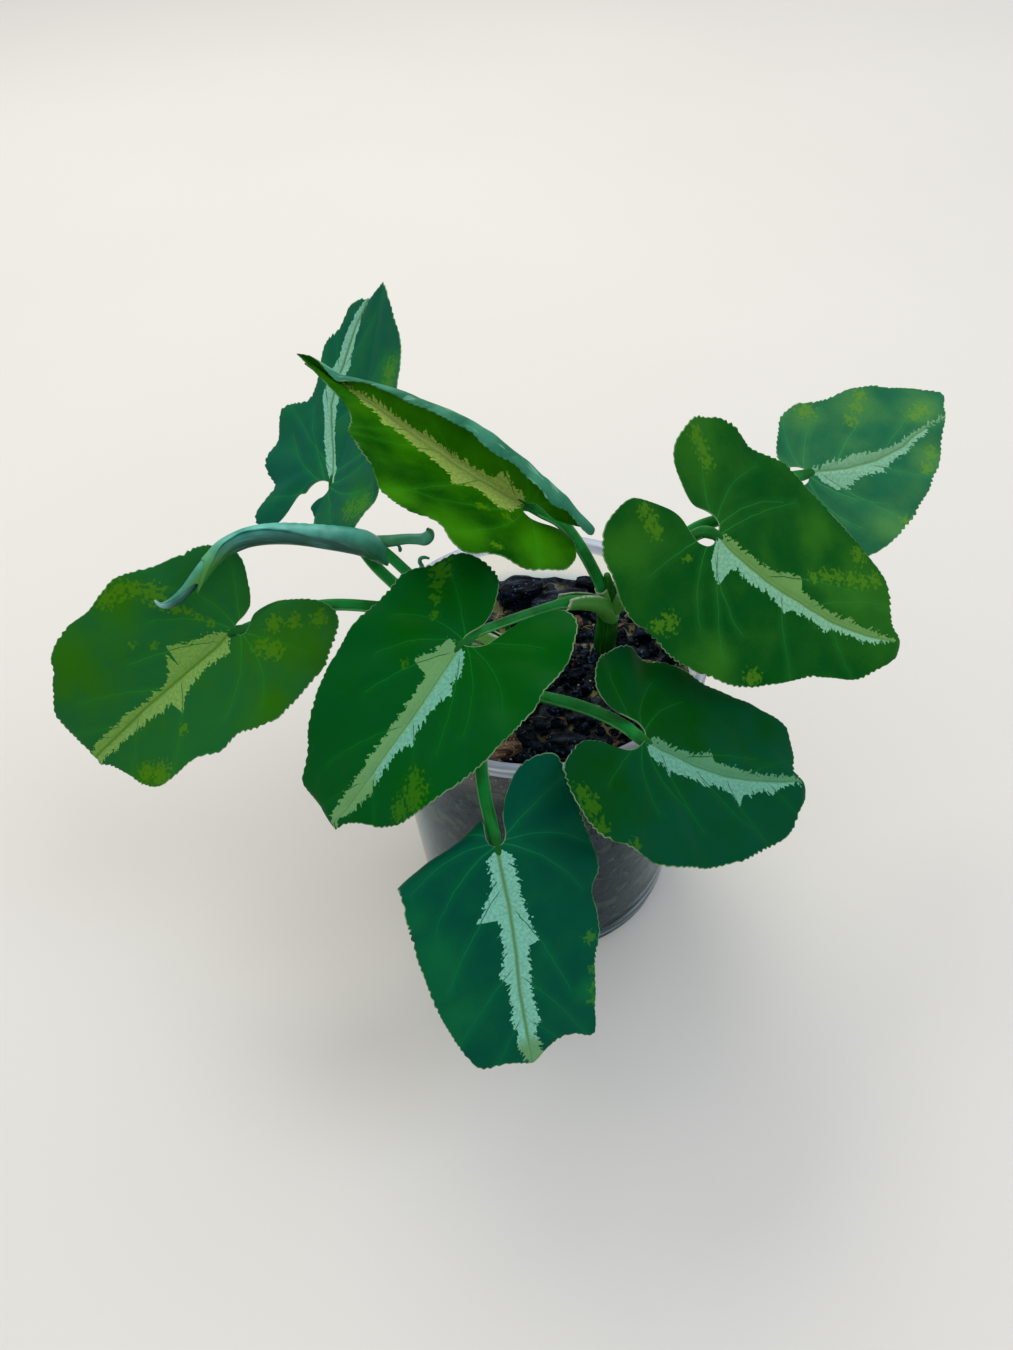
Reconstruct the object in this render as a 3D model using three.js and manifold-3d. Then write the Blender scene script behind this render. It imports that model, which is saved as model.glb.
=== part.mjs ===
// Potted syngonium: a young climbing aroid of two leafy shoots, rooted in a clear nursery cup.
// Millimetres and degrees, +Z up, with the origin at the middle of the cup's underside.

import * as THREE from 'three';
import { mergeVertices } from 'three/addons/utils/BufferGeometryUtils.js';
import Module from 'manifold-3d';

const wasm = await Module();
wasm.setup();

// Driving dimensions of the cup
const CUP_HEIGHT = 100;
const RIM_DIAMETER = 95;
const MOUTH_DIAMETER = 88.6;
const BASE_DIAMETER = 80;
const CUP_WALL = 1;
const RIM_THICKNESS = 3;
const FOOT_HEIGHT = 3.7;
const FOOT_STEP = 0.6;
const EDGE_ROUNDING = 0.5;
const ROUND_SEGMENTS = 40;
const DRAIN_COUNT = 6;
const DRAIN_DIAMETER = 6;
const DRAIN_CIRCLE = 56;
const DRAIN_SIDES = 12;

// Driving dimensions of the potting mix
const CLEARANCE = 0.3;
const MIX_LEVEL = 86;
const MIX_RINGS = 9;
const MIX_CHAMFER = 2;
const MIX_SEED = 11;
const LUMP_COUNT = 70;
const LUMP_HEIGHT = 2.2;
const LUMP_WIDTH = 4.5;
const HOLLOW_SHARE = 0.35;
const CHUNK_SEED = 40;
const CHUNK_POWER = 0.7;
const CHUNK_ROUGHNESS = 0.24;

// Driving dimensions of the leaves
const BLADE_THICKNESS = 0.7;
const ACUMEN_RADIUS = 3.5;
const TOOTH_DEPTH = 0.7;
const TOOTH_SPREAD = 0.6;
const RIPPLE_HEIGHT = 0.7;
const RIPPLE_COUNT = 11;
const RIPPLE_REACH = 25;
const HEM_WIDTH = 3.5;
const LOBE_SPAN = 0.4;
const CURL_SPAN = 0.5;
const BLADE_SEED = 70;
const PETIOLE_SIDES = 8;
const PETIOLE_STEPS = 12;
const STEM_SIDES = 12;
const STEM_STEPS = 14;
const BLADE_RINGS = [[0.22, 12], [0.5, 24], [0.8, 48], [1, 96]];
const HEMMED_RINGS = [[0.25, 24], [0.5, 48], [0.64, 48], [0.78, 96], [1, 96]];
const MARGIN_STEP = 0.25;
const OUTLINE_OVERSHOOT = 0.5;
const ACROSS_STEPS = 6;
const HEMMED_ACROSS_STEPS = 24;
const SLOPE_STEP = 0.05;

// The two shoots, each a stem through the points of its route with these radii.
const SHOOTS = [
  {
    name: 'shoot_back',
    route: [[20.6, 6, 58], [20.6, 6, 86], [20.8, 6.6, 97], [21.2, 6.8, 105], [20.4, 5.8, 112],
      [19.6, 5, 118]],
    radii: [3, 3.1, 3.1, 3, 1.9, 0.5],
  },
  {
    name: 'shoot_front',
    route: [[-4.4, -9.6, 58], [-4.4, -9.6, 86], [-5, -10, 95], [-6, -10.8, 104], [-7.4, -10.6, 112],
      [-8.4, -9.6, 117]],
    radii: [2.8, 3, 3, 2.9, 1.8, 0.5],
  },
];

// The open leaves. A blade runs from its join with the petiole to its tip, which lie in space at
// join and tip. Seen along the midrib from the join, roll dips the right half, bend droops the tip,
// fold lifts each half at the midrib, curl lifts it further towards its margin, lobe lifts what lies
// behind the join and twist turns the blade on its midrib. Pairs give left, right. A lobe turns within
// lobeSpan of the midrib's length. A crease is the slanted line, behind the join at the midrib, from
// which the right lobe turns. A hem turns the outer band of the right half over, along an arched line
// that is furthest from the midrib at its middle.
// Each half's outline is pairs of bearing from the tip and reach from the join.
const LEAVES = [
  {
    name: 'leaf_back_left',
    join: [-54.7, 36.4, 131.3],
    tip: [-33.9, 59.6, 177.7],
    roll: -16, bend: -25, fold: [8, 8], curl: [0, 0], lobe: [5, 5], twist: 0,
    left: [[0, 57], [5, 51.5], [13, 51], [18, 49], [23, 44], [31, 41], [36, 35], [44, 30.5], [54, 29.5],
      [70, 32.5], [85, 30], [100, 29], [116, 24], [130, 29], [140, 29], [149, 20], [154, 9]],
    right: [[6, 52], [17, 45], [25, 41], [33, 37], [50, 31], [65, 28], [85, 27], [105, 26.5],
      [125, 23.5], [145, 20], [160, 17.5], [172, 13], [182, 7]],
    petiole: [[-6, -10, 100], [-17, -5, 105], [-28, 3, 109], [-39, 11.3, 115.2], [-44.4, 16.5, 118.9],
      [-51, 27.2, 124.6], [-54.7, 36.4, 131.3]],
    sheath: 0.35,
  },
  {
    name: 'leaf_upper',
    join: [-1.4, -0.9, 146.7],
    tip: [-55.4, 34.3, 171.2],
    roll: 0, bend: 4, fold: [15, 68], curl: [0, 20], lobe: [8, 4], twist: 0,
    hem: { turn: 130, middle: 15, halfLength: 41, width: 9.3 },
    left: [[0, 70], [4.5, 59], [7, 53.5], [11, 48.5], [21, 46], [34, 42.5], [37, 40.5], [46, 40],
      [54, 39.5], [62, 36.5], [72, 33], [81, 33], [90, 31], [97, 30], [107, 27.2], [113, 25.5],
      [124, 26.5], [131, 26], [147, 22.3], [158, 20], [168, 17.5], [177, 11], [180, 6]],
    right: [[3, 60], [8.5, 50], [18, 41], [29, 33], [43, 25], [63, 18.5], [90, 15], [118, 14.5],
      [137, 15.5], [150, 17.5], [160, 19.5], [167, 16], [174, 7]],
    petiole: [[20.8, 6.6, 100], [19.8, 5.6, 108], [15.8, 5.7, 119.6], [11.7, 5.4, 129],
      [7.2, 2.9, 137.8], [2.3, 1, 142.8], [-1.4, -0.9, 146.7]],
    sheath: 0.3,
  },
  {
    name: 'leaf_far_left',
    join: [-80.4, -2.7, 112.7],
    tip: [-122.2, -18.2, 85],
    roll: -38, bend: 30, fold: [15, 15], curl: [0, 0], lobe: [4, 4], twist: 2,
    left: [[0, 57], [6, 51], [15, 48.5], [23, 46.5], [30, 41.5], [37, 35], [49, 32], [58, 28], [68, 28],
      [79, 27.5], [91, 27], [110, 26.5], [132, 28], [150, 28], [160, 24.5], [171, 18], [182, 13],
      [190, 7]],
    right: [[4, 54.5], [13, 56.5], [17, 57], [21, 54.5], [28, 50.5], [35, 48], [42, 44.5], [49, 38.5],
      [57, 36], [65, 33.5], [73, 30], [83, 26.5], [95, 25], [114, 24.5], [132, 21.5], [143, 14],
      [156, 8]],
    petiole: [[-6, -10.6, 104], [-15, -7.5, 104.5], [-26.2, -3, 108.2], [-36.5, 0.6, 113.2],
      [-44.8, 1.4, 115.2], [-57.4, 2.1, 116], [-71, 1.5, 113], [-80.4, -2.7, 112.7]],
    sheath: 0.3,
  },
  {
    name: 'leaf_front_left',
    join: [-18.8, -36.9, 135.3],
    tip: [-51.2, -59.3, 103.6],
    roll: -5, bend: 32, fold: [4, 4], curl: [0, 0], lobe: [2, 2], twist: 2,
    left: [[0, 55], [6, 49], [20, 44.5], [30, 40], [41, 35], [53, 31.5], [61, 30], [78, 27], [97, 25.5],
      [109, 25.5], [123, 27.5], [137, 28], [147, 24], [152, 12]],
    right: [[7, 55], [15, 54.5], [20, 49], [27, 43.5], [37, 38], [51, 32.5], [66, 28], [84, 25.5],
      [101, 25], [115, 24], [132, 23], [143, 23], [156, 20.5], [167, 17], [176, 11], [180, 6]],
    petiole: [[21, 6.4, 101], [18.6, 3, 107.6], [14.8, 0.5, 111.7], [7.8, -5.9, 118],
      [-2.1, -16.3, 124.8], [-12.2, -28, 131.8], [-16.9, -33.8, 135.2], [-18.8, -36.9, 135.3]],
    sheath: 0.3,
  },
  {
    name: 'leaf_front',
    join: [-13.9, -71.4, 104.4],
    tip: [-9.6, -98.6, 54.5],
    roll: -10, bend: 8, fold: [0, 0], curl: [0, 0], lobe: [3, -130], twist: 0,
    lobeSpan: 0.1, crease: { start: -4, slope: 0.47 },
    left: [[0, 62], [6, 57], [15, 59], [23, 48], [28, 41], [40, 33.5], [48, 28.5], [62, 26], [79, 23.5],
      [93, 21.5], [111, 21.5], [126, 23.5], [137, 25], [146, 23], [157, 18], [163, 11]],
    right: [[6, 57], [12, 58], [17, 53.5], [23, 47], [31, 40.5], [42, 33.5], [63, 26.5], [79, 24],
      [95, 23], [115, 22], [135, 21], [150, 18], [162, 12], [168, 6]],
    petiole: [[-5, -10, 96], [-7, -15, 99.5], [-9.4, -21, 103], [-12.8, -30.8, 106.2],
      [-16.4, -45.4, 109], [-16.1, -59.4, 109], [-13.9, -71.4, 104.4]],
    sheath: 0.3,
  },
  {
    name: 'leaf_front_right',
    join: [22.4, -49.9, 112.7],
    tip: [62, -48.9, 90],
    roll: 14, bend: -12, fold: [-3, -3], curl: [0, 0], lobe: [4, -4], twist: 0,
    left: [[0, 51], [4, 46], [13, 49], [20, 49.5], [27, 44], [35, 37.5], [46, 32.5], [54, 30.5],
      [71, 26.5], [87, 25], [98, 26], [112, 24.5], [126, 23.5], [135, 21], [145, 16], [153, 10]],
    right: [[7, 47.5], [16, 45.5], [31, 39], [51, 34], [66, 31.5], [81, 30], [99, 28.5], [114, 29],
      [130, 29], [143, 27], [158, 25], [165, 20], [170, 11]],
    petiole: [[-4.7, -9.8, 92], [-2.6, -16.5, 95.8], [1.3, -24.3, 101.8], [7.7, -31.1, 106],
      [14.3, -39.2, 110], [19, -46, 112.6], [22.4, -49.9, 112.7]],
    sheath: 0.2,
  },
  {
    name: 'leaf_right',
    join: [44.4, -9.1, 140.1],
    tip: [93.2, -15.3, 104.6],
    roll: 32, bend: -9, fold: [-5, -5], curl: [0, 0], lobe: [9, 9], twist: -5,
    left: [[0, 66], [4, 60.5], [12, 60], [18, 58], [24, 52], [34, 44], [43, 40], [54, 36.5], [67, 32.5],
      [83, 29.5], [101, 30], [114, 30], [129, 29.5], [139, 24.5], [149, 21.5], [158, 16], [165, 9]],
    right: [[8, 60], [14, 56.5], [22, 48], [33, 42.5], [48, 39.5], [62, 36.5], [77, 34], [97, 32],
      [116, 32.5], [131, 33], [144, 33.5], [156, 32], [165, 26], [171, 15]],
    petiole: [[21.2, 6.8, 103], [23.1, 4.8, 107], [28.4, 1.6, 114.1], [34.2, -0.3, 124.9],
      [39.7, -3.2, 134.6], [42.3, -6.2, 138.6], [44.4, -9.1, 140.1]],
    sheath: 0.3,
  },
  {
    name: 'leaf_far_right',
    join: [77.5, 26.6, 130.1],
    tip: [126.2, 46.9, 132.9],
    roll: 26, bend: 18, fold: [-3, -3], curl: [0, 0], lobe: [58, 5], lobeSpan: 0.2, twist: -6,
    left: [[0, 47], [4, 49.5], [9, 53.5], [13, 50.5], [19, 44.5], [27, 38], [40, 30], [53, 24.5],
      [71, 22], [82, 19.5], [90, 16.5], [98, 14], [112, 11], [128, 9], [140, 6]],
    right: [[5, 43.5], [15, 39.5], [28, 35], [44, 31.5], [60, 30], [81, 28], [100, 27], [118, 26.5],
      [136, 26], [150, 23], [161, 16], [167, 8]],
    petiole: [[21, 7.4, 106], [23, 7.4, 109.5], [29.1, 7.8, 115], [37, 8.3, 123], [43.8, 7.9, 129],
      [50, 9, 130.5], [62.5, 18.8, 131], [72, 25, 130.6], [77.5, 26.6, 130.1]],
    sheath: 0.25,
  },
];

// The newest leaf is still rolled: its blade is a scroll from the curled base lobes to the tip.
const FURLED_LEAF = {
  name: 'leaf_furled',
  scroll: [[-26.4, 9.6, 130.8], [-30.5, 9.2, 130.4], [-35, 8.6, 130.6], [-39, 8, 131],
    [-44.2, 7.4, 131.9], [-52.8, 8, 134], [-62.6, 9, 135.2], [-73.8, 8.2, 135.8], [-80, 6, 134.8],
    [-84, 3, 132.8], [-86.6, 0, 130.6], [-89.7, -2.7, 128], [-94, -4, 125.8], [-98.4, -4, 125.4]],
  radii: [1.9, 1.7, 1.8, 2.9, 3.2, 3.3, 3.2, 3, 2.8, 2.4, 1.8, 1.4, 0.9, 0.35],
  petiole: [[-5.4, -10.4, 106], [-13, -8, 109.5], [-22.7, -2.4, 115.6], [-32.3, 3.2, 123.2],
    [-38.6, 7, 128.6], [-41.5, 7.6, 131]],
  sheath: 0.35,
};
const SCROLL_SIDES = 14;
const SCROLL_STEPS = 30;
const SCROLL_LAP = 0.7;
const SCROLL_LAP_SHARE = 0.3;

// Petiole radii: round the shoot, where the sheath ends, just past it, and at the blade.
const SHEATH_RADIUS = 1.9;
const SHEATH_END_RADIUS = 1.8;
const PETIOLE_RADIUS = 1.5;
const JOIN_RADIUS = 1.2;

// Charcoal and bark lying on the mix: place, turn, tilt, and length, width and height.
const CHUNKS = [
  { name: 'charcoal_back', at: [-3, 32.5, 89.6], turn: 12, tilt: 4, size: [13, 9, 8] },
  { name: 'charcoal_long', at: [8.5, 26, 88.8], turn: 6, tilt: -5, size: [18, 7, 6.5] },
  { name: 'charcoal_edge', at: [18, 36, 87.6], turn: -20, tilt: 8, size: [7, 4, 4] },
  { name: 'charcoal_left', at: [-20, 24, 87.8], turn: 55, tilt: 0, size: [11, 7, 6] },
  { name: 'charcoal_right', at: [33, 14, 87.6], turn: 70, tilt: 5, size: [10, 6.5, 6] },
  { name: 'charcoal_front', at: [6, -29, 87.5], turn: -15, tilt: 6, size: [11, 7, 6] },
  { name: 'bark_centre', at: [10.5, 17.5, 87.6], turn: 40, tilt: -6, size: [8, 4.6, 4] },
  { name: 'bark_right', at: [32, -3, 87.4], turn: -35, tilt: 5, size: [10, 5, 4] },
  { name: 'bark_front', at: [-12, -29, 87.4], turn: 25, tilt: -4, size: [11, 5, 4] },
  { name: 'bark_left', at: [-31, 2, 87.5], turn: 80, tilt: 6, size: [12, 6, 4.5] },
];

const FINISHES = {
  cup: { color: '#c4ccd2', roughness: 0.25 },
  mix: { color: '#1c1d20', roughness: 0.95 },
  charcoal: { color: '#15191f', roughness: 0.85 },
  bark: { color: '#6b4a33', roughness: 0.85 },
  blade: { color: '#14622a', roughness: 0.45 },
  furled: { color: '#3f8a70', roughness: 0.45 },
  shoot: { color: '#1d5c2a', roughness: 0.5 },
};

// A repeatable random draw between 0 and 1.
function seeded(seed) {
  let state = seed;
  return () => {
    state = (state * 1664525 + 1013904223) % 4294967296;
    return state / 4294967296;
  };
}

const toRad = THREE.MathUtils.degToRad;
const smooth = THREE.MathUtils.smoothstep;
const vector = (point) => new THREE.Vector3(...point);

function solidOf(geometry) {
  const bare = geometry.clone();
  bare.deleteAttribute('normal');
  bare.deleteAttribute('uv');
  const merged = mergeVertices(bare, 1e-4);
  return new wasm.Manifold(new wasm.Mesh({
    numProp: 3,
    vertProperties: merged.attributes.position.array,
    triVerts: Uint32Array.from(merged.index.array),
  }));
}

function geometryOf(solid) {
  const mesh = solid.getMesh();
  const geometry = new THREE.BufferGeometry();
  geometry.setAttribute('position', new THREE.BufferAttribute(mesh.vertProperties, 3));
  geometry.setIndex(new THREE.BufferAttribute(mesh.triVerts, 1));
  geometry.computeVertexNormals();
  return geometry;
}

function closedGeometry(points, faces) {
  const geometry = new THREE.BufferGeometry();
  const positions = points.flatMap((point) => point.toArray());
  geometry.setAttribute('position', new THREE.Float32BufferAttribute(positions, 3));
  geometry.setIndex(faces.flat());
  geometry.computeVertexNormals();
  return geometry;
}

// A closed round tube along a route. radiusAt gives its radius at a share of the length and an angle.
function tube(route, radiusAt, steps, sides) {
  const curve = new THREE.CatmullRomCurve3(route.map(vector), false, 'centripetal');
  const frames = curve.computeFrenetFrames(steps, false);
  const points = [];
  for (let i = 0; i <= steps; i += 1) {
    const middle = curve.getPointAt(i / steps);
    for (let k = 0; k < sides; k += 1) {
      const angle = (2 * Math.PI * k) / sides;
      const radius = radiusAt(i / steps, k / sides);
      points.push(middle.clone()
        .addScaledVector(frames.normals[i], radius * Math.cos(angle))
        .addScaledVector(frames.binormals[i], radius * Math.sin(angle)));
    }
  }
  const faces = [];
  for (let i = 0; i < steps; i += 1) {
    for (let k = 0; k < sides; k += 1) {
      const next = (k + 1) % sides;
      const [a, b] = [i * sides + k, i * sides + next];
      const [c, d] = [a + sides, b + sides];
      faces.push([a, b, d], [a, d, c]);
    }
  }
  const start = points.length;
  points.push(curve.getPointAt(0), curve.getPointAt(1));
  const last = steps * sides;
  for (let k = 0; k < sides; k += 1) {
    const next = (k + 1) % sides;
    faces.push([start, next, k], [start + 1, last + k, last + next]);
  }
  return closedGeometry(points, faces);
}

// Reads a list of values evenly spread over a length, at a share of that length.
function along(values, share) {
  const place = share * (values.length - 1);
  const index = Math.min(Math.floor(place), values.length - 2);
  return THREE.MathUtils.lerp(values[index], values[index + 1], place - index);
}

// A half's reach at a bearing, by a smooth curve through its outline.
function reachAt(outline, bearing) {
  let index = outline.findIndex(([b]) => b > bearing) - 1;
  if (index === -2) index = outline.length - 2;
  index = Math.max(index, 0);
  const [before, from, to, after] = [-1, 0, 1, 2].map(
    (step) => outline[THREE.MathUtils.clamp(index + step, 0, outline.length - 1)]);
  const span = to[0] - from[0];
  const slope = (a, b) => (b[0] === a[0] ? 0 : ((b[1] - a[1]) / (b[0] - a[0])) * span);
  const t = (bearing - from[0]) / span;
  const [m0, m1] = [slope(before, to), slope(from, after)];
  const cubic = from[1] * (2 * t ** 3 - 3 * t ** 2 + 1) + m0 * (t ** 3 - 2 * t ** 2 + t)
    + to[1] * (3 * t ** 2 - 2 * t ** 3) + m1 * (t ** 3 - t ** 2);
  const [low, high] = [Math.min(from[1], to[1]), Math.max(from[1], to[1])];
  return THREE.MathUtils.clamp(cubic, low - OUTLINE_OVERSHOOT, high + OUTLINE_OVERSHOOT);
}

// The blade as a surface: a function from the flat leaf's place (along, across) to space.
function bladeSurface(leaf) {
  const bend = toRad(leaf.bend);
  const join = vector(leaf.join);
  const chord = vector(leaf.tip).sub(join);
  const length = chord.length() * (bend / 2 / Math.sin(bend / 2));
  chord.normalize();
  const level = new THREE.Vector3().crossVectors(chord, new THREE.Vector3(0, 0, 1)).normalize();
  const across = level.clone().multiplyScalar(Math.cos(toRad(leaf.roll)))
    .addScaledVector(new THREE.Vector3().crossVectors(level, chord), -Math.sin(toRad(leaf.roll)));
  const above = new THREE.Vector3().crossVectors(across, chord);
  const onward = chord.clone().multiplyScalar(Math.cos(bend / 2))
    .addScaledVector(above, Math.sin(bend / 2));
  const up = new THREE.Vector3().crossVectors(across, onward);
  const outlines = [leaf.left, [leaf.left[0], ...leaf.right]];

  // Carries a place in the midrib's plane onward by run while its slope turns at this rate.
  function carry(from, run, rate) {
    const slope = from.slope + rate * run;
    if (Math.abs(rate) < 1e-9) {
      const [ahead, rise] = [run * Math.cos(slope), run * Math.sin(slope)];
      return { advance: from.advance + ahead, height: from.height + rise, slope };
    }
    return {
      advance: from.advance + (Math.sin(slope) - Math.sin(from.slope)) / rate,
      height: from.height - (Math.cos(slope) - Math.cos(from.slope)) / rate,
      slope,
    };
  }

  // The midrib is an arc with a tight hook past its end. The lobes turn up or down from the join or
  // from the crease, and run on straight past their span.
  function midrib(u, w, half) {
    const start = leaf.crease && half ? leaf.crease.start + leaf.crease.slope * w : 0;
    const inner = THREE.MathUtils.clamp(u, start, length);
    const arc = carry({ advance: 0, height: 0, slope: 0 }, inner, -bend / length);
    if (u > length) return carry(arc, u - length, -1 / ACUMEN_RADIUS);
    const span = (leaf.lobeSpan ?? LOBE_SPAN) * length;
    const turning = THREE.MathUtils.clamp(u - start, -span, 0);
    const turned = carry(arc, turning, toRad(leaf.lobe[half]) / span);
    return carry(turned, Math.min(u - start - turning, 0), 0);
  }

  function hemTurn(u, w) {
    if (!leaf.hem) return 0;
    const { turn, middle, halfLength, width } = leaf.hem;
    const line = Math.max(width * (1 - ((u - middle) / halfLength) ** 2), 0);
    return turn * smooth(w, line, line + HEM_WIDTH);
  }

  function place(u, v, lift) {
    const half = v >= 0 ? 1 : 0;
    const rib = midrib(u, Math.abs(v), half);
    const normal = onward.clone().multiplyScalar(-Math.sin(rib.slope))
      .addScaledVector(up, Math.cos(rib.slope));
    const steps = leaf.hem ? HEMMED_ACROSS_STEPS : ACROSS_STEPS;
    const step = Math.abs(v) / steps;
    let [out, rise] = [0, 0];
    for (let k = 0; k < steps; k += 1) {
      const w = (k + 0.5) * step;
      const curl = (leaf.curl[half] * w) / (CURL_SPAN * length);
      const angle = toRad(leaf.fold[half] + curl + half * hemTurn(u, w));
      out += step * Math.cos(angle);
      rise += step * Math.sin(angle);
    }
    out *= half ? 1 : -1;
    const turn = toRad((leaf.twist * u) / length);
    return join.clone()
      .addScaledVector(onward, rib.advance)
      .addScaledVector(up, rib.height)
      .addScaledVector(across, out * Math.cos(turn) + rise * Math.sin(turn))
      .addScaledVector(normal, rise * Math.cos(turn) - out * Math.sin(turn) + lift);
  }
  return { place, outlines };
}

// One blade: rings of points from the join to the toothed margin, as a thin slab.
function bladeGeometry(leaf, seed) {
  const { place, outlines } = bladeSurface(leaf);
  const random = seeded(seed);
  const phase = 2 * Math.PI * random();
  const [leftEnd, rightEnd] = outlines.map((outline) => outline[outline.length - 1][0]);
  const reach = (bearing) => reachAt(outlines[bearing >= 0 ? 1 : 0], Math.abs(bearing));
  const rings = leaf.hem ? HEMMED_RINGS : BLADE_RINGS;
  const fineCount = rings[rings.length - 1][1];

  // Bearings that share the margin out evenly, from the left side of the sinus to the right.
  const dense = [];
  let run = 0;
  for (let bearing = -leftEnd; bearing <= rightEnd + 1e-6; bearing += MARGIN_STEP) {
    const here = [reach(bearing), toRad(bearing)];
    if (dense.length) {
      const last = dense[dense.length - 1];
      run += Math.hypot(here[0] - last.reach, ((here[0] + last.reach) / 2) * (here[1] - last.angle));
    }
    dense.push({ reach: here[0], angle: here[1], run });
  }
  const margin = [];
  for (let j = 0; j <= fineCount; j += 1) {
    margin.push(dense.find((d) => d.run >= (run * j) / fineCount - 1e-6));
  }

  const flat = [[0, 0, 0]];
  const faces = [];
  let ringStart = 0;
  rings.forEach(([share, count], ring) => {
    const start = flat.length;
    const stride = fineCount / count;
    for (let j = 0; j <= count; j += 1) {
      const { reach: full, angle } = margin[j * stride];
      const depth = TOOTH_DEPTH * (1 + TOOTH_SPREAD * (2 * random() - 1));
      const r = full * share - (share === 1 && j % 2 ? depth : 0);
      const height = RIPPLE_HEIGHT * share ** 2 * Math.min(r / RIPPLE_REACH, 1);
      const lift = height * Math.sin(RIPPLE_COUNT * angle + phase);
      flat.push([r * Math.cos(angle), r * Math.sin(angle), lift]);
    }
    if (ring === 0) {
      for (let j = 0; j < count; j += 1) faces.push([0, start + j + 1, start + j]);
    } else if (rings[ring - 1][1] === count) {
      for (let j = 0; j < count; j += 1) {
        const [a, b, c, d] = [ringStart + j, ringStart + j + 1, start + j, start + j + 1];
        faces.push([a, b, d], [a, d, c]);
      }
    } else {
      for (let j = 0; j < count / 2; j += 1) {
        const [a, b, c] = [ringStart + j, ringStart + j + 1, start + 2 * j];
        faces.push([a, c + 1, c], [a, b, c + 1], [b, c + 2, c + 1]);
      }
    }
    ringStart = start;
  });

  const tops = [];
  const undersides = [];
  for (const [u, v, lift] of flat) {
    const here = place(u, v, lift);
    const slopeU = place(u + SLOPE_STEP, v, lift).sub(here);
    const side = v >= 0 ? SLOPE_STEP : -SLOPE_STEP;
    const slopeV = place(u, v + side, lift).sub(here).multiplyScalar(Math.sign(side));
    const normal = new THREE.Vector3().crossVectors(slopeV, slopeU).normalize();
    tops.push(here.clone().addScaledVector(normal, BLADE_THICKNESS / 2));
    undersides.push(here.clone().addScaledVector(normal, -BLADE_THICKNESS / 2));
  }
  const shift = flat.length;
  const underside = faces.map(([a, b, c]) => [a + shift, c + shift, b + shift]);
  const edges = new Map();
  for (const [a, b, c] of faces) {
    for (const [from, to] of [[a, b], [b, c], [c, a]]) edges.set(`${from},${to}`, [from, to]);
  }
  const walls = [];
  for (const [from, to] of edges.values()) {
    if (!edges.has(`${to},${from}`)) walls.push([to, from, from + shift], [to, from + shift, to + shift]);
  }
  return closedGeometry([...tops, ...undersides], [...faces, ...underside, ...walls]);
}

// A petiole, thicker by extra all round: a sheathing base, a step where the sheath ends, and a taper.
function petiole(leaf, extra) {
  const radiusAt = (share) => extra + (share < leaf.sheath
    ? THREE.MathUtils.lerp(SHEATH_RADIUS, SHEATH_END_RADIUS, share / leaf.sheath)
    : THREE.MathUtils.lerp(PETIOLE_RADIUS, JOIN_RADIUS, (share - leaf.sheath) / (1 - leaf.sheath)));
  return solidOf(tube(leaf.petiole, radiusAt, PETIOLE_STEPS, PETIOLE_SIDES));
}

function shootSolid(shoot, extra) {
  const radiusAt = (share) => along(shoot.radii, share) + extra;
  return solidOf(tube(shoot.route, radiusAt, STEM_STEPS, STEM_SIDES));
}

// The scroll's section steps out where the outer wrap laps over the turn below it.
function scroll() {
  const radiusAt = (share, around) => {
    const radius = along(FURLED_LEAF.radii, share);
    return radius - Math.min(SCROLL_LAP, radius * SCROLL_LAP_SHARE) * around;
  };
  return solidOf(tube(FURLED_LEAF.scroll, radiusAt, SCROLL_STEPS, SCROLL_SIDES));
}

function chunk(shape, extra, seed) {
  const random = seeded(seed);
  const geometry = new THREE.IcosahedronGeometry(1, 1);
  geometry.deleteAttribute('normal');
  geometry.deleteAttribute('uv');
  const merged = mergeVertices(geometry, 1e-4);
  const position = merged.attributes.position;
  const half = shape.size.map((size) => size / 2);
  const point = new THREE.Vector3();
  const turn = new THREE.Euler(toRad(shape.tilt), 0, toRad(shape.turn), 'ZYX');
  for (let i = 0; i < position.count; i += 1) {
    const rough = 1 + CHUNK_ROUGHNESS * (random() - 0.5);
    point.fromBufferAttribute(position, i);
    // A power below one swells the ball towards a squared block.
    point.set(...point.toArray().map(
      (c, axis) => Math.sign(c) * Math.abs(c) ** CHUNK_POWER * (half[axis] * rough + extra)));
    point.applyEuler(turn).add(vector(shape.at));
    position.setXYZ(i, point.x, point.y, point.z);
  }
  return solidOf(merged);
}

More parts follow.
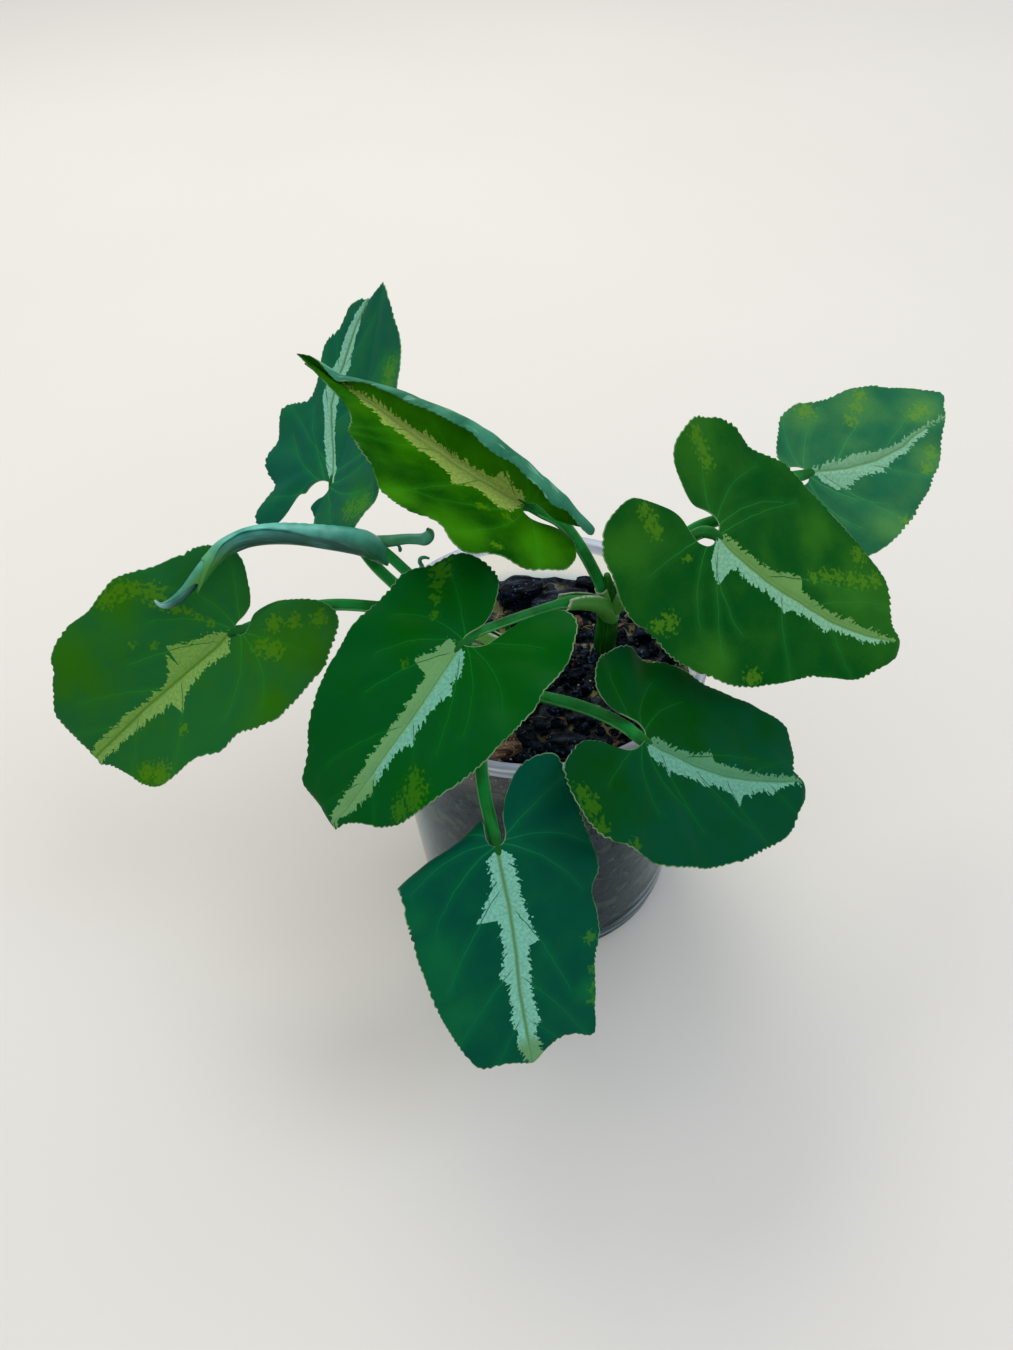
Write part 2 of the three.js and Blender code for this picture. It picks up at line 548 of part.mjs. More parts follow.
function cup() {
  const [rim, mouth, base] = [RIM_DIAMETER / 2, MOUTH_DIAMETER / 2, BASE_DIAMETER / 2];
  const outer = mouth + CUP_WALL;
  const under = CUP_HEIGHT - RIM_THICKNESS;
  const inner = base - CUP_WALL;
  const profile = [
    [0, 0], [base - EDGE_ROUNDING, 0], [base, EDGE_ROUNDING], [base, FOOT_HEIGHT - FOOT_STEP],
    [base + FOOT_STEP, FOOT_HEIGHT], [outer, under], [rim - EDGE_ROUNDING, under],
    [rim, under + EDGE_ROUNDING], [rim, CUP_HEIGHT - EDGE_ROUNDING], [rim - EDGE_ROUNDING, CUP_HEIGHT],
    [mouth + EDGE_ROUNDING, CUP_HEIGHT], [mouth, CUP_HEIGHT - EDGE_ROUNDING], [inner, FOOT_HEIGHT],
    [inner, CUP_WALL + EDGE_ROUNDING], [inner - EDGE_ROUNDING, CUP_WALL], [0, CUP_WALL],
  ];
  const lathe = new THREE.LatheGeometry(profile.map(([x, y]) => new THREE.Vector2(x, y)), ROUND_SEGMENTS);
  lathe.rotateX(Math.PI / 2);
  let solid = solidOf(lathe);
  for (let k = 0; k < DRAIN_COUNT; k += 1) {
    const angle = (2 * Math.PI * k) / DRAIN_COUNT;
    const [radius, away] = [DRAIN_DIAMETER / 2, DRAIN_CIRCLE / 2];
    const drill = new THREE.CylinderGeometry(radius, radius, 4 * CUP_WALL, DRAIN_SIDES);
    drill.rotateX(Math.PI / 2);
    drill.translate(away * Math.cos(angle), away * Math.sin(angle), CUP_WALL / 2);
    solid = solid.subtract(solidOf(drill));
  }
  return solid;
}

// The mix fills the cup to a lumpy surface that is hollowed under each stem, chip and chunk.
function pottingMix(sunk) {
  const random = seeded(MIX_SEED);
  const lumps = [];
  const [mouth, base] = [MOUTH_DIAMETER / 2, BASE_DIAMETER / 2 - CUP_WALL];
  for (let k = 0; k < LUMP_COUNT; k += 1) {
    const angle = 2 * Math.PI * random();
    const distance = (mouth - LUMP_WIDTH) * Math.sqrt(random());
    const height = LUMP_HEIGHT * (random() - HOLLOW_SHARE);
    lumps.push([distance * Math.cos(angle), distance * Math.sin(angle), height]);
  }
  const surface = (x, y) => lumps.reduce((sum, [a, b, height]) => {
    const apart = Math.hypot(x - a, y - b) / LUMP_WIDTH;
    return sum + height * Math.exp(-(apart ** 2));
  }, MIX_LEVEL);
  const innerRadius = (z) => {
    const share = (z - FOOT_HEIGHT) / (CUP_HEIGHT - FOOT_HEIGHT);
    return THREE.MathUtils.lerp(base, mouth, share);
  };
  const topRadius = innerRadius(MIX_LEVEL - 2 * LUMP_HEIGHT) - CLEARANCE;
  const points = [new THREE.Vector3(0, 0, surface(0, 0))];
  const ring = (radius, heightAt) => {
    for (let k = 0; k < ROUND_SEGMENTS; k += 1) {
      const angle = (2 * Math.PI * k) / ROUND_SEGMENTS;
      const [x, y] = [radius * Math.cos(angle), radius * Math.sin(angle)];
      points.push(new THREE.Vector3(x, y, heightAt(x, y)));
    }
  };
  for (let i = 1; i <= MIX_RINGS; i += 1) ring((topRadius * i) / MIX_RINGS, surface);
  ring(base - CLEARANCE, () => FOOT_HEIGHT);
  ring(base - CLEARANCE - MIX_CHAMFER, () => CUP_WALL + CLEARANCE);
  points.push(new THREE.Vector3(0, 0, CUP_WALL + CLEARANCE));
  const faces = [];
  const rows = MIX_RINGS + 2;
  for (let k = 0; k < ROUND_SEGMENTS; k += 1) {
    const next = (k + 1) % ROUND_SEGMENTS;
    faces.push([0, 1 + k, 1 + next]);
    for (let i = 0; i < rows - 1; i += 1) {
      const [a, b] = [1 + i * ROUND_SEGMENTS + k, 1 + i * ROUND_SEGMENTS + next];
      faces.push([a, a + ROUND_SEGMENTS, b + ROUND_SEGMENTS], [a, b + ROUND_SEGMENTS, b]);
    }
    const lastRow = 1 + (rows - 1) * ROUND_SEGMENTS;
    faces.push([points.length - 1, lastRow + next, lastRow + k]);
  }
  return sunk.reduce((solid, piece) => solid.subtract(piece), solidOf(closedGeometry(points, faces)));
}

const plant = new THREE.Group();

function add(name, solid, finish) {
  const material = new THREE.MeshStandardMaterial({ ...finish, metalness: 0 });
  const mesh = new THREE.Mesh(geometryOf(solid), material);
  mesh.name = name;
  plant.add(mesh);
}

add('cup', cup(), FINISHES.cup);

CHUNKS.forEach((shape, k) => {
  const finish = shape.name.startsWith('bark') ? FINISHES.bark : FINISHES.charcoal;
  add(shape.name, chunk(shape, 0, CHUNK_SEED + k), finish);
});
const sunk = [
  ...SHOOTS.map((shoot) => shootSolid(shoot, CLEARANCE)),
  ...CHUNKS.map((shape, k) => chunk(shape, CLEARANCE, CHUNK_SEED + k)),
];
add('potting_mix', pottingMix(sunk), FINISHES.mix);

for (const shoot of SHOOTS) {
  add(shoot.name, shootSolid(shoot, 0), FINISHES.shoot);
}

// Each leaf is a blade grown into its petiole, whose base fits round the shoot and the leaves below it.
const taken = SHOOTS.map((shoot) => shootSolid(shoot, CLEARANCE));
LEAVES.forEach((leaf, k) => {
  const grown = petiole(leaf, 0).add(solidOf(bladeGeometry(leaf, BLADE_SEED + k)));
  add(leaf.name, taken.reduce((solid, piece) => solid.subtract(piece), grown), FINISHES.blade);
  taken.push(petiole(leaf, CLEARANCE));
});
const furled = petiole(FURLED_LEAF, 0).add(scroll());
add(FURLED_LEAF.name, taken.reduce((solid, piece) => solid.subtract(piece), furled), FINISHES.furled);

export default plant;
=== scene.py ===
"""A potted syngonium in a clear nursery cup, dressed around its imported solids."""

import math

import bpy
import numpy as np
from mathutils import Matrix


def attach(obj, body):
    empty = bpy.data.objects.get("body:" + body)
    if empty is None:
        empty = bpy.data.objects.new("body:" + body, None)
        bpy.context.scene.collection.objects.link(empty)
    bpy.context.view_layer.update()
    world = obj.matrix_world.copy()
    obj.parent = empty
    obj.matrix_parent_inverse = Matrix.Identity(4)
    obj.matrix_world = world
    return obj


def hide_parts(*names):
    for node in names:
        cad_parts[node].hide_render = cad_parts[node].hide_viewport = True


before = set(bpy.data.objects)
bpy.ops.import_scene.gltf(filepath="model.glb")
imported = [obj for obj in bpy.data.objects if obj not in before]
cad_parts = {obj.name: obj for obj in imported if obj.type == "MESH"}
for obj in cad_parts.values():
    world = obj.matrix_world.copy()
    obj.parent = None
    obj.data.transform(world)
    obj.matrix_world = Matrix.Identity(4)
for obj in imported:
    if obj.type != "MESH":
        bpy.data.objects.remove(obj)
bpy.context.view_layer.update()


# The camera. It stands in front of the plant and a little to the left, where the photograph was taken, and
# looks down on it at about 46 degrees. Its place and lens follow from the cup's rim, wall and foot.
CAMERA_PLACE = (-0.0091, -0.2085, 0.3003)
CAMERA_RIGHT = (0.9976, -0.0499, -0.0487)
CAMERA_UP = (0.0698, 0.7139, 0.6967)
CAMERA_BACK = (0.0, -0.6984, 0.7157)
CAMERA_LENS = 27.73
CAMERA_SENSOR = 36.0

camera_data = bpy.data.cameras.new("camera")
camera_data.lens = CAMERA_LENS
camera_data.sensor_width = CAMERA_SENSOR
camera_data.clip_start = 0.01
camera = bpy.data.objects.new("camera", camera_data)
camera.matrix_world = Matrix.Translation(CAMERA_PLACE) @ Matrix(
    (CAMERA_RIGHT, CAMERA_UP, CAMERA_BACK)).transposed().to_4x4()
bpy.context.collection.objects.link(camera)
bpy.context.scene.camera = camera


# The clear cup. A thin-walled nursery cup, moulded in one piece from hazy clear plastic, with a rolled
# rim, a small step above its foot and a stacking ring. The six drain holes in its bottom are left out.
CUP_HEIGHT = 100.0
RIM_RADIUS = 47.5
MOUTH_RADIUS = 44.3
BASE_RADIUS = 40.0
CUP_WALL = 1.0
RIM_THICKNESS = 3.0
FOOT_HEIGHT = 3.7
FOOT_STEP = 0.6
CUP_SEGMENTS = 192
MM = 0.001


class Number:
    """A number that nodes work out at each point of a surface, for use in plain sums."""

    def __init__(self, finish, socket):
        self.finish, self.socket = finish, socket

    def __add__(self, other):
        return self.finish.math("ADD", self, other)

    def __sub__(self, other):
        return self.finish.math("SUBTRACT", self, other)

    def __rsub__(self, other):
        return self.finish.math("SUBTRACT", other, self)

    def __mul__(self, other):
        return self.finish.math("MULTIPLY", self, other)

    def __abs__(self):
        return self.finish.math("ABSOLUTE", self)


class Finish:
    """A node material in the making, with short calls for the nodes that the finishes below use."""

    def __init__(self, name, **shader):
        self.material = bpy.data.materials.new(name)
        self.material.use_nodes = True
        self.tree = self.material.node_tree
        self.shader = self.tree.nodes["Principled BSDF"]
        for socket, value in shader.items():
            self.set(socket.replace("_", " "), value)

    def set(self, socket, value):
        self.join(self.shader.inputs[socket], value)

    def join(self, socket, value):
        if isinstance(value, Number):
            value = value.socket
        if isinstance(value, bpy.types.NodeSocket):
            self.tree.links.new(value, socket)
        elif socket.type == "RGBA" and len(value) == 3:
            socket.default_value = (*value, 1.0)
        else:
            socket.default_value = value

    def node(self, kind, *values, **settings):
        made = self.tree.nodes.new(kind)
        for name, setting in settings.items():
            setattr(made, name, setting)
        for socket, value in zip(made.inputs, values):
            if value is not None:
                self.join(socket, value)
        return made

    def number(self, kind, *values, **settings):
        return Number(self, self.node(kind, *values, **settings).outputs[0])

    def math(self, operation, *values):
        return self.number("ShaderNodeMath", *values, operation=operation)

    def ramp(self, value, low, high, first, last):
        """Runs evenly from first to last while a value runs from low to high."""
        return self.number("ShaderNodeMapRange", value, low, high, first, last)

    def step(self, value, low, high):
        """0 below low, 1 above high and smooth between."""
        return self.number("ShaderNodeMapRange", value, low, high, 0.0, 1.0, interpolation_type="SMOOTHSTEP")

    def fade(self, value, low, high):
        """1 below low, 0 above high and smooth between."""
        return 1.0 - self.step(value, low, high)

    def mix(self, share, first, second):
        made = self.node("ShaderNodeMix", data_type="RGBA")
        for socket, value in ((0, share), (6, first), (7, second)):
            self.join(made.inputs[socket], value)
        return made.outputs[2]

    def place(self):
        return self.node("ShaderNodeTexCoord").outputs["Object"]

    def split(self, place):
        """The three numbers of a place."""
        return [Number(self, part) for part in self.node("ShaderNodeSeparateXYZ", place).outputs]

    def parts(self, name):
        """The three numbers of a named attribute."""
        return self.split(self.node("ShaderNodeAttribute", attribute_name=name).outputs["Vector"])

    def vector(self, *values):
        return self.node("ShaderNodeCombineXYZ", *values).outputs[0]

    def noise(self, place, scale, detail=2.0, stretch=(1.0, 1.0, 1.0)):
        moved = self.node("ShaderNodeMapping", place, None, None, stretch).outputs[0]
        made = self.node("ShaderNodeTexNoise", moved)
        made.inputs["Scale"].default_value = scale
        made.inputs["Detail"].default_value = detail
        return Number(self, made.outputs["Fac"])

    def distance(self, first, second):
        apart = self.node("ShaderNodeVectorMath", first, second, operation="DISTANCE")
        return Number(self, apart.outputs["Value"])

    def curve(self, value, points):
        """The number across that belongs to a number along, both in mm, by lines through points."""
        across, along = 50.0, 70.0
        made = self.node("ShaderNodeFloatCurve", 1.0, self.math("DIVIDE", value, along))
        line = made.mapping.curves[0]
        made.mapping.extend = "HORIZONTAL"
        for _ in points[2:]:
            line.points.new(0.5, 0.5)
        for point, (u, v) in zip(line.points, points):
            point.location = (u / along, v / across + 0.5)
            point.handle_type = "VECTOR"
        made.mapping.update()
        return self.math("MULTIPLY_ADD", made.outputs[0], across, -0.5 * across)

    def lit_through(self, share, colour):
        """Lets a share of the light shine through a thin blade in this colour."""
        through = self.node("ShaderNodeBsdfTranslucent", colour)
        mixed = self.node("ShaderNodeMixShader", share, self.shader.outputs[0], through.outputs[0])
        self.tree.links.new(mixed.outputs[0], self.tree.nodes["Material Output"].inputs["Surface"])

    def bump(self, height, strength, distance):
        made = self.node("ShaderNodeBump")
        self.join(made.inputs["Strength"], strength)
        self.join(made.inputs["Distance"], distance)
        self.join(made.inputs["Height"], height)
        self.set("Normal", made.outputs[0])


def srgb(red, green, blue):
    """A display colour from 0 to 255 as the linear colour that a shader takes."""
    share = np.array((red, green, blue)) / 255
    return tuple(np.where(share <= 0.04045, share / 12.92, ((share + 0.055) / 1.055) ** 2.4))


def piece(name, points, faces, finishes, nodes=(), face_finish=None, attributes=None):
    """A mesh piece from points in mm, smooth, riding on the part, with its attributes and finishes."""
    mesh = bpy.data.meshes.new(name)
    mesh.from_pydata((np.asarray(points, float) * MM).tolist(), [], faces)
    for finish in finishes:
        mesh.materials.append(finish)
    mesh.polygons.foreach_set("use_smooth", np.ones(len(mesh.polygons), bool))
    if face_finish is not None:
        mesh.polygons.foreach_set("material_index", np.asarray(face_finish, np.int32))
    for label, values in (attributes or {}).items():
        layer = mesh.attributes.new(label, "FLOAT_VECTOR", "POINT")
        layer.data.foreach_set("vector", np.asarray(values, np.float32).ravel())
    mesh.update()
    made = bpy.data.objects.new(name, mesh)
    bpy.context.collection.objects.link(made)
    dress(made, nodes)
    return made


def dress(made, nodes=()):
    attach(made, "root")
    if nodes:
        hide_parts(*nodes)


def grid_faces(rows, columns, start=0, closed=False):
    """Quads of a grid of points, row after row. A closed grid joins its last column to its first."""
    faces = []
    for i in range(rows - 1):
        for k in range(columns if closed else columns - 1):
            a, b = start + i * columns + k, start + i * columns + (k + 1) % columns
            faces.append((a, b, b + columns, a + columns))
    return faces


def arc(centre, radius, first, last, count):
    """Points of an arc in the plane of a profile, by angles in degrees."""
    turn = np.radians(np.linspace(first, last, count))
    return [(centre[0] + radius * math.cos(t), centre[1] + radius * math.sin(t)) for t in turn]


def cup_profile():
    """The wall's section from the middle of the underside, round the rim and back down inside."""
    under = CUP_HEIGHT - RIM_THICKNESS
    outer = MOUTH_RADIUS + CUP_WALL
    inner = BASE_RADIUS - CUP_WALL
    roll = 0.7
    profile = [(0.0, 0.5), (30.0, 0.5), (31.0, 0.0), (BASE_RADIUS - 1.2, 0.0)]
    profile += arc((BASE_RADIUS - 1.2, 1.2), 1.2, -80, 0, 5)
    profile += [(BASE_RADIUS + 0.05, FOOT_HEIGHT - 0.5), (BASE_RADIUS + FOOT_STEP, FOOT_HEIGHT - 0.1),
                (BASE_RADIUS + FOOT_STEP, FOOT_HEIGHT + 0.6)]
    for height in (20, 40, 60, 80):
        share = (height - FOOT_HEIGHT) / (under - FOOT_HEIGHT)
        profile.append((BASE_RADIUS + FOOT_STEP + share * (outer - BASE_RADIUS - FOOT_STEP), height))
    profile += [(outer, under - 0.4), (outer + 0.4, under)]
    profile += arc((RIM_RADIUS - roll, under + roll), roll, -90, 0, 4)
    profile += arc((RIM_RADIUS - roll, CUP_HEIGHT - roll), roll, 0, 90, 4)
    profile += arc((MOUTH_RADIUS + roll, CUP_HEIGHT - roll), roll, 90, 180, 4)
    for height in (80, 60, 40, 20):
        share = (height - FOOT_HEIGHT) / (CUP_HEIGHT - FOOT_HEIGHT)
        profile.append((inner + share * (MOUTH_RADIUS - inner), height))
    profile += [(inner, FOOT_HEIGHT), (inner - 0.3, CUP_WALL + 0.8), (inner - 1.2, CUP_WALL)]
    profile += [(31.0, CUP_WALL), (30.0, CUP_WALL + 0.4), (0.0, CUP_WALL + 0.4)]
    return profile


def lathe(profile, segments):
    """A closed solid turned about the vertical axis from a profile that starts and ends on it."""
    rings = np.array(profile[1:-1])
    angle = np.linspace(0, 2 * np.pi, segments, endpoint=False)
    points = [(0.0, 0.0, profile[0][1])]
    for radius, height in rings:
        points += list(zip(radius * np.cos(angle), radius * np.sin(angle), np.full(segments, height)))
    points.append((0.0, 0.0, profile[-1][1]))
    faces = grid_faces(len(rings), segments, 1, closed=True)
    last = 1 + (len(rings) - 1) * segments
    for k in range(segments):
        following = (k + 1) % segments
        faces.append((0, 1 + following, 1 + k))
        faces.append((len(points) - 1, last + k, last + following))
    return points, faces


clear = Finish("clear_hazy_plastic", IOR=1.2)
wall_place = clear.place()
height = clear.split(wall_place)[2]
streaks = clear.noise(wall_place, 90.0, 4.0, (1.0, 1.0, 3.0))
rim = clear.step(height, 96.2 * MM, 97.2 * MM)
ridge = clear.step(height, 3.4 * MM, 3.7 * MM) * clear.fade(height, 4.4 * MM, 4.8 * MM)
film = clear.step(height, 35 * MM, 85 * MM) * clear.step(streaks, 0.36, 0.66)
haze = film * clear.fade(height, 87 * MM, 91 * MM) * 0.024 + 0.001
for share in (rim * 0.5, ridge * 0.3):
    haze = clear.math("MAXIMUM", haze, share)
clear.set("Transmission Weight", 1.0 - haze)
# The wall's tint: dark slate-blue at the foot, a painted shade on the bottom of the cup, pale blue up the
# wall and near white above the mix.
tint = clear.mix(clear.step(height, 2.6 * MM, 3.6 * MM), srgb(52, 76, 96), srgb(170, 200, 212))
tint = clear.mix(clear.step(height, 82 * MM, 90 * MM), tint, srgb(246, 244, 238))
clear.set("Base Color", clear.mix(rim, tint, srgb(228, 234, 252)))
clear.set("Roughness", streaks * 0.12 + 0.02)
points, faces = lathe(cup_profile(), CUP_SEGMENTS)
piece("clear_cup", points, faces, [clear.material], ["cup"])


# The potting mix. A coarse, free-draining mix of charcoal, bark and coconut chips fills the cup to a
# finger's width below the rim. Its crumbs press against the wall and lie loose on top.
CLEARANCE = 0.3
MIX_LEVEL = 86.0
MIX_RINGS = 40
MIX_SEGMENTS = 160
MIX_ROWS = 44
LUMP_SEED = 11
LUMP_COUNT = 70
LUMP_HEIGHT = 2.2
LUMP_WIDTH = 4.5
HOLLOW_SHARE = 0.35
GENERATOR = (1664525, 1013904223, 2 ** 32)


def draws(seed):
    """The repeatable random draws between 0 and 1 that also place the lumps and ripples of the solids."""
    state = seed
    while True:
        state = (state * GENERATOR[0] + GENERATOR[1]) % GENERATOR[2]
        yield state / GENERATOR[2]


def mix_lumps():
    random = draws(LUMP_SEED)
    lumps = []
    for _ in range(LUMP_COUNT):
        angle = 2 * math.pi * next(random)
        distance = (MOUTH_RADIUS - LUMP_WIDTH) * math.sqrt(next(random))
        height = LUMP_HEIGHT * (next(random) - HOLLOW_SHARE)
        lumps.append((distance * math.cos(angle), distance * math.sin(angle), height))
    return lumps


def rough(points, pitch, seed):
    """Smooth random numbers between -1 and 1 at points, from a lattice of this pitch."""
    cells = np.asarray(points, float) / pitch
    low = np.floor(cells).astype(int)
    share = cells - low
    share = share * share * (3 - 2 * share)
    total = np.zeros(len(cells))
    for corner in np.ndindex(2, 2, 2):
        at = low + corner
        mixed = np.sin(at @ np.array((127.1, 311.7, 74.7)) + seed * 17.3) * 43758.5453
        weight = np.prod(np.where(corner, share, 1 - share), axis=1)
        total += weight * (2 * (mixed - np.floor(mixed)) - 1)
    return total


def mix_surface(x, y):
    height = np.full(np.shape(x), MIX_LEVEL)
    for a, b, rise in mix_lumps():
        height = height + rise * np.exp(-((x - a) ** 2 + (y - b) ** 2) / LUMP_WIDTH ** 2)
    return height


def mix_wall(height):
    share = (height - FOOT_HEIGHT) / (CUP_HEIGHT - FOOT_HEIGHT)
    inner = BASE_RADIUS - CUP_WALL
    return inner + share * (MOUTH_RADIUS - inner) - CLEARANCE


angle = np.linspace(0, 2 * np.pi, MIX_SEGMENTS, endpoint=False)
rows = []
top_radius = mix_wall(MIX_LEVEL - 2 * LUMP_HEIGHT)
for radius in np.linspace(0, top_radius, MIX_RINGS + 1)[1:]:
    x, y = radius * np.cos(angle), radius * np.sin(angle)
    rows.append(np.stack([x, y, mix_surface(x, y)], 1))
edge = rows[-1][:, 2]
for share in np.linspace(0, 1, MIX_ROWS + 1)[1:]:
    height = edge + share * (FOOT_HEIGHT - edge)
    radius = mix_wall(height)
    rows.append(np.stack([radius * np.cos(angle), radius * np.sin(angle), height], 1))
rows.append(rows[-1] * (0.95, 0.95, 0) + (0, 0, CUP_WALL + CLEARANCE + 0.4))
body = np.concatenate(rows)
coarse = 0.7 * rough(body, 3.1, 1) + 0.5 * rough(body, 1.6, 2) + 0.3 * rough(body, 0.8, 3)
on_top = np.arange(len(body)) < MIX_RINGS * MIX_SEGMENTS
outward = body * (1, 1, 0) / np.maximum(np.linalg.norm(body[:, :2], axis=1), 1)[:, None]
pressed = 0.5 * (coarse - 1.1)[:, None] * outward
body = body + np.where(on_top[:, None], coarse[:, None] * (0, 0, 1), pressed)
middle = np.array([(0, 0, float(mix_surface(0.0, 0.0)))])
bottom = np.array([(0, 0, CUP_WALL + CLEARANCE + 0.4)])
points = np.concatenate([middle, body, bottom])
faces = [face[::-1] for face in grid_faces(len(rows), MIX_SEGMENTS, 1, closed=True)]
last = 1 + (len(rows) - 1) * MIX_SEGMENTS
for k in range(MIX_SEGMENTS):
    following = (k + 1) % MIX_SEGMENTS
    faces.append((0, 1 + k, 1 + following))
    faces.append((len(points) - 1, last + following, last + k))

mix = Finish("dark_potting_mix", Specular_IOR_Level=0.1)
bits = mix.noise(mix.place(), 420.0, 3.0)
dust = mix.noise(mix.place(), 1500.0, 2.0)
patches = mix.noise(mix.place(), 150.0, 3.0)
roots = abs(mix.noise(mix.place(), 60.0, 1.0, (1.0, 1.0, 2.6)) - 0.5)
colour = mix.mix(mix.step(bits, 0.35, 0.62), srgb(8, 11, 15), srgb(40, 50, 60))
colour = mix.mix(mix.step(patches, 0.54, 0.62), colour, srgb(112, 108, 76))
colour = mix.mix(0.7 - mix.step(roots, 0.0, 0.012), colour, srgb(150, 148, 122))
mix.set("Base Color", mix.mix(mix.step(dust, 0.68, 0.74), colour, srgb(104, 106, 108)))
mix.set("Roughness", mix.ramp(bits, 0.3, 0.7, 0.85, 0.4))
mix.bump(dust, 0.5, 0.0006)
piece("potting_mix_body", points, faces, [mix.material], ["potting_mix"])


# The lumps of charcoal and chips of bark that lie on the mix. Charcoal breaks into angular blocks with a
# fine grain; its slate-blue glints are painted into its colour. The bark chips are torn from a trunk and are
# brown and fibrous.
CHUNKS = [
    ("charcoal_back", (-3, 32.5, 89.6), 12, 4, (13, 9, 8)),
    ("charcoal_long", (8.5, 26, 88.8), 6, -5, (18, 7, 6.5)),
    ("charcoal_edge", (18, 36, 87.6), -20, 8, (7, 4, 4)),
    ("charcoal_left", (-20, 24, 87.8), 55, 0, (11, 7, 6)),
    ("charcoal_right", (33, 14, 87.6), 70, 5, (10, 6.5, 6)),
    ("charcoal_front", (6, -29, 87.5), -15, 6, (11, 7, 6)),
    ("bark_centre", (10.5, 17.5, 87.6), 40, -6, (8, 4.6, 4)),
    ("bark_right", (32, -3, 87.4), -35, 5, (10, 5, 4)),
    ("bark_front", (-12, -29, 87.4), 25, -4, (11, 5, 4)),
    ("bark_left", (-31, 2, 87.5), 80, 6, (12, 6, 4.5)),
]
CHUNK_GRID = 16
BREAK_COUNT = 16


def chunk_finish(name, deep, pale, painted_glint, stretch, gloss, gleam):
    """A broken grain: darker in its hollows and paler on its ridges, partly the grain's own colour and
    partly painted shade and highlight, with small pale spots that are painted glints.
    """
    finish = Finish(name, Specular_IOR_Level=gleam)
    grain = finish.noise(finish.place(), 600.0, 5.0, stretch)
    spots = finish.noise(finish.place(), 1100.0, 2.0)
    # The grain's darker hollows and paler ridges: partly its own colour, partly painted shade and highlight.
    colour = finish.mix(finish.step(grain, 0.38, 0.68), deep, pale)
    # Painted glints: small spots of a pale colour that stand in for highlights.
    finish.set("Base Color", finish.mix(finish.step(spots, 0.62, 0.7), colour, painted_glint))
    finish.set("Roughness", finish.ramp(grain, 0.35, 0.62, 0.9, gloss))
    finish.bump(grain, 0.8, 0.0006)
    return finish.material


charcoal = chunk_finish("charcoal_with_slate_glint", srgb(1, 2, 5), srgb(22, 38, 60), srgb(76, 106, 142),
                        (0.25, 1.0, 1.6), 0.3, 0.1)
bark = chunk_finish("fibrous_bark", srgb(44, 28, 22), srgb(140, 108, 86), srgb(206, 186, 156),
                    (0.15, 1.0, 1.0), 0.6, 0.15)


def block(count):
    """A cube of unit half-width as a closed grid of points on its six sides, and its quads."""
    lookup, points, faces = {}, [], []
    line = np.linspace(-1, 1, count + 1)
    for axis, side in ((0, -1), (0, 1), (1, -1), (1, 1), (2, -1), (2, 1)):
        first, second = (axis + 1) % 3, (axis + 2) % 3
        for i in range(count):
            for k in range(count):
                corners = []
                for a, b in ((i, k), (i + 1, k), (i + 1, k + 1), (i, k + 1)):
                    at = [0.0, 0.0, 0.0]
                    at[axis], at[first], at[second] = float(side), float(line[a]), float(line[b])
                    key = tuple(np.round(at, 6))
                    if key not in lookup:
                        lookup[key] = len(points)
                        points.append(at)
                    corners.append(lookup[key])
                faces.append(tuple(corners if side > 0 else corners[::-1]))
    return np.array(points), faces


def broken(directions, seed):
    """How far a lump with flat broken sides reaches in each direction, on a scale of its half size."""
    random = draws(seed)
    planes = [(axis * side, 0.98) for axis in np.eye(3) for side in (-1, 1)]
    for _ in range(BREAK_COUNT):
        tilt = np.array([next(random) - 0.5 for _ in range(3)])
        planes.append((tilt / np.linalg.norm(tilt), 1.04 + 0.3 * next(random)))
    reach = np.full(len(directions), 9.0)
    for normal, distance in planes:
        reach = np.minimum(reach, distance / np.maximum(directions @ normal, 0.05))
    return reach


def turned(points, turn, tilt):
    turn, tilt = math.radians(turn), math.radians(tilt)
    about_x = np.array(((1, 0, 0), (0, math.cos(tilt), -math.sin(tilt)),
                        (0, math.sin(tilt), math.cos(tilt))))
    about_z = np.array(((math.cos(turn), -math.sin(turn), 0), (math.sin(turn), math.cos(turn), 0),
                        (0, 0, 1)))
    return points @ (about_z @ about_x).T


for seed, (name, at, turn, tilt, size) in enumerate(CHUNKS):
    points, faces = block(CHUNK_GRID)
    ball = points / np.linalg.norm(points, axis=1)[:, None]
    swell = 1 + 0.05 * rough(ball + seed * 5, 0.5, 5) + 0.05 * rough(ball * (0.5, 1, 1) + seed * 5, 0.14, 7)
    shaped = ball * (broken(ball, 300 + seed) * swell)[:, None] * np.array(size) / 2
    placed = turned(shaped, turn, tilt) + np.array(at)
    kind = name.split("_")[0]
    piece(name + "_lump", placed, faces, [{"bark": bark, "charcoal": charcoal}[kind]], [name])


# The loose part of the mix. Small chips of charcoal and bark, white grains and pale coconut fibres lie
# strewn over it, and more chips press against the cup's wall. Nothing holds them but their weight.
white = Finish("white_grain", Roughness=0.7)
white.set("Base Color", srgb(206, 208, 206))
pale_fibre = Finish("pale_fibre", Roughness=0.6, Specular_IOR_Level=0.3)
pale_fibre.set("Base Color", pale_fibre.mix(pale_fibre.noise(pale_fibre.place(), 300.0), srgb(126, 104, 74),
                                            srgb(196, 178, 146)))
